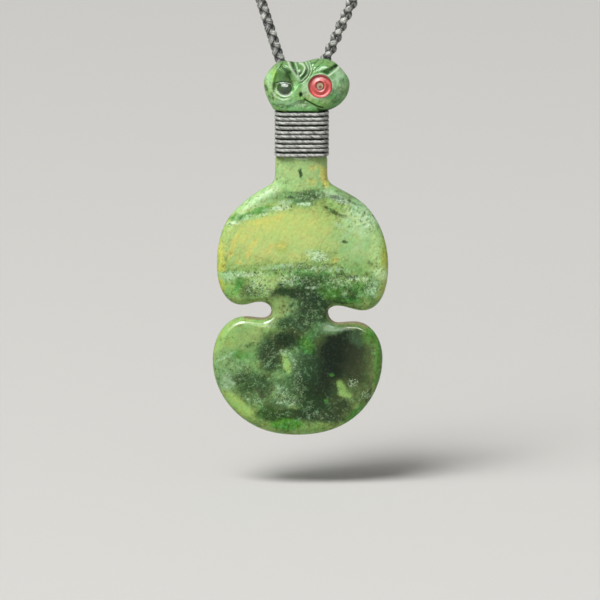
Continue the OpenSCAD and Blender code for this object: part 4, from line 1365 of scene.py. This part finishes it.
# the arris between rim and face was polished most along the lower lips of the notches, a little at
# the lower right, and the rim was polished at the left shoulder
lips = (np.abs(out_x) > LIPS_FROM) & (np.abs(out_x) < LIPS_TO) & (out_z > LIPS_LOW) & (out_z < LIPS_HIGH)
uneven = 0.8 + 0.2 * np.sin(2.3 * out_x + 1)
lips = lips * eased(17.0, 13.5, np.abs(out_x)) * eased(0.3, 0.7, -inward[:, 1]) * uneven
shoulder = 0.6 * (out_x < 0) * eased(52.2, 54.5, out_z) * eased(58.6, 57.6, out_z)
foot = 0.18 * (out_x > 0) * eased(7.5, 11, out_z) * eased(22, 19, out_z)
for ring, share in ((10, 0.25), (11, 0.5), (12, 0.75), (13, 1.0), (14, 0.4)):
    own = front_ring(ring)
    polish_mark[own] = np.maximum(polish_mark[own], share * np.maximum(lips, foot))
for ring in range(FRONT_RIM_STEPS):
    polish_mark[front_ring(ring)] += shoulder * math.exp(-(((ring - 4) / 2.2) ** 2))

marks = {
    "notch_wall": wall_mark, "carved": carved_mark, "flecked": brushed(FLECKED, 0.12),
    "calm": brushed(CALM, 0.0), "painted_highlight": painted_highlight_mark, "painted_shade": painted_shade_mark, "core": core_mark,
    "core_middle_and_wall_shade": core_middle_and_wall_shade, "lime": lime_mark, "polish": polish_mark,
}
marks.update({name: brushed(rows_of, 0.0) for name, (_, _, rows_of) in TORN.items()})
for name, mark in marks.items():
    keep_on_points(stone, name, mark)
    print(f"{name}: {int((mark > 0.5).sum())} of {len(mark)} points over one half")

# %% [markdown]
# ### Red resin, waxed thread and braided cord
# The resin is softly glossy and a little see-through, with faint clouds of red. The thread is
# waxed, so it is dark with a soft grey shine on its crests. The cord's strands are fine
# fibres that run along each strand.

# %% Inlay material
resin, tree, shader = new_material("red_resin_turned")
place = add(tree, "TexCoord", {}).outputs["Object"]
sized = framed(tree, place, size=(MM, MM, MM))
cloud = noise(tree, sized, 1.4, 3.0, 0.6)
red = mixed(tree, between(tree, cloud, 0.35, 0.65), linear("#a93c38"), linear("#c9524d"))
fill(tree, shader, {
    "Base Color": red, "Roughness": 0.4, "IOR": 1.5, "Specular IOR Level": 0.5, "Coat Weight": 0.3,
    "Coat Roughness": 0.3, "Subsurface Weight": 0.2, "Subsurface Radius": (1.0, 0.3, 0.25),
    "Subsurface Scale": 0.0008,
})
inlay.data.materials.append(resin)

# %% Thread and cord materials
def fibre_material(name, deep, lit, rough, sheen):
    """A dull fibre material: fine streaks of two greys that run along the fibre, raised a
    little, with a sheen for the fuzz."""
    material, tree, shader = new_material(name)
    place = mark_of(tree, "fibre", "Vector")
    lengthways = framed(tree, place, size=(1, 1, 2.6))
    streaks = noise(tree, lengthways, 0.36, 5.0, 0.75)
    patches = noise(tree, place, 1.6, 3.0, 0.6)
    share = between(tree, maths(tree, "MULTIPLY_ADD", patches, 0.4, streaks), 0.56, 0.8)
    colour = mixed(tree, share, linear(deep), linear(lit))
    lint = between(tree, noise(tree, place, 0.3, 3.0, 0.7), 0.6, 0.68, 0, 0.7)
    colour = tinted(tree, colour, lint, "#c9cbc2")
    # painted shade: the fibres are made darker, nearly black, where they lie deep in a gap
    sunk = mark_of(tree, "sunk")
    colour = tinted(tree, colour, maths(tree, "MULTIPLY", sunk, 0.9), "#060606")
    bump = add(tree, "Bump", {"Strength": 0.85, "Distance": 0.00016, "Height": streaks})
    fill(tree, shader, {
        "Base Color": colour, "Normal": bump.outputs["Normal"],
        "Roughness": rough, "Sheen Weight": sheen, "Sheen Roughness": 0.5,
    })
    return material


waxed_thread = fibre_material("waxed_thread_twisted_from_two_plies", "#242422", "#aeb0a8", 0.42, 0.1)
thread.data.materials.append(waxed_thread)
braided = fibre_material("polyester_cord_braided_from_four_strands", "#0e0e0d", "#aeb0a8", 0.5, 0.1)
cord_right.data.materials.append(braided)
cord_left.data.materials.append(braided)

# %% [markdown]
# ## Fasten each piece to the part
# Each visual piece rides on the part's one body, and the CAD node that it shows is hidden.

# %% Fasten
for piece, node_name, slot_name in (
    (stone, "greenstone_club", "polished_greenstone"),
    (inlay, "eye_inlay", "red_inlay"),
    (thread, "neck_binding", "waxed_thread"),
    (cord_right, "neck_cord_right", "braided_cord"),
    (cord_left, "neck_cord_left", "braided_cord"),
):
    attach(piece, "root")
    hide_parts(node_name)

# %% [markdown]
# ## Floor, light and camera
# The pendant hangs just above a plain pale floor. One large soft light stands high in
# front and to the left, as the shine on the stone's upper left shoulder says, and a broad
# skylight comes from the same side. The pale room fills the rest. A wide soft card in front
# shows only in what is glossy. It gives the left eye, the brow and the lips of the notches
# something to reflect, so that no shine has to be painted on them.

# %% Floor
FLOOR_UP = -0.302
FLOOR_HALF = 6.0
mesh = bpy.data.meshes.new("floor")
corners = ((-1, -1), (1, -1), (1, 1), (-1, 1))
mesh.from_pydata([(FLOOR_HALF * a, FLOOR_HALF * b, FLOOR_UP) for a, b in corners], [], [(0, 1, 2, 3)])
floor = put("floor", mesh)
paper, tree, shader = new_material("studio_paper_matt")
fill(tree, shader, {"Base Color": linear("#b3b2af"), "Roughness": 0.9, "Specular IOR Level": 0.1})
mesh.materials.append(paper)

# %% Light
world = bpy.data.worlds.new("pale_room")
world.use_nodes = True
world.node_tree.nodes["Background"].inputs["Color"].default_value = linear("#e4e3e0")
world.node_tree.nodes["Background"].inputs["Strength"].default_value = 0.42
bpy.context.scene.world = world


def sun(name, toward, strength, spread):
    """A lamp far away in the direction toward, as wide as spread degrees in the sky."""
    data = bpy.data.lights.new(name, "SUN")
    data.energy = strength
    data.angle = math.radians(spread)
    lamp = put(name, data)
    away = np.array(toward, dtype=float)
    away /= np.linalg.norm(away)
    lamp.rotation_euler = (math.acos(away[2]), 0, math.atan2(away[0], -away[1]))


def softbox(name, at, aim, wide, high, power):
    """A rectangular soft lamp at a place, turned to face another."""
    data = bpy.data.lights.new(name, "AREA")
    data.shape = "RECTANGLE"
    data.size, data.size_y, data.energy = wide, high, power
    lamp = put(name, data)
    lamp.location = at
    lamp.rotation_euler = (Vector(aim) - Vector(at)).to_track_quat("-Z", "Y").to_euler()
    return lamp


LAMPS_AIM = (0, -0.115, -0.25)
sun("skylight", (-0.4, -0.6, 1.0), 2.7, 24)
softbox("wide_key", (-0.9, -1.27, 1.76), LAMPS_AIM, 1.8, 1.2, 42.0)
# a soft card in front and above, which lights nothing dull and only shows in what is glossy
card = softbox("sheen_card", (-0.4, -1.55, 0.8), LAMPS_AIM, 3.0, 1.5, 120.0)
card.visible_diffuse = False

# %% Camera
LENS_WIDTH = 0.138
CAMERA_AWAY = 3.0
CAMERA_UP_ANGLE = math.radians(9)
AIM = (0.0, -REACH * MM, -0.2586)
camera_data = bpy.data.cameras.new("camera")
camera_data.sensor_width = 36.0
camera_data.lens = 36.0 * CAMERA_AWAY / LENS_WIDTH
camera = put("camera", camera_data)
camera.location = (AIM[0], AIM[1] - CAMERA_AWAY * math.cos(CAMERA_UP_ANGLE),
                   AIM[2] + CAMERA_AWAY * math.sin(CAMERA_UP_ANGLE))
camera.rotation_euler = (math.pi / 2 - CAMERA_UP_ANGLE, 0, 0)
bpy.context.scene.camera = camera
bpy.context.scene.view_settings.view_transform = "Standard"
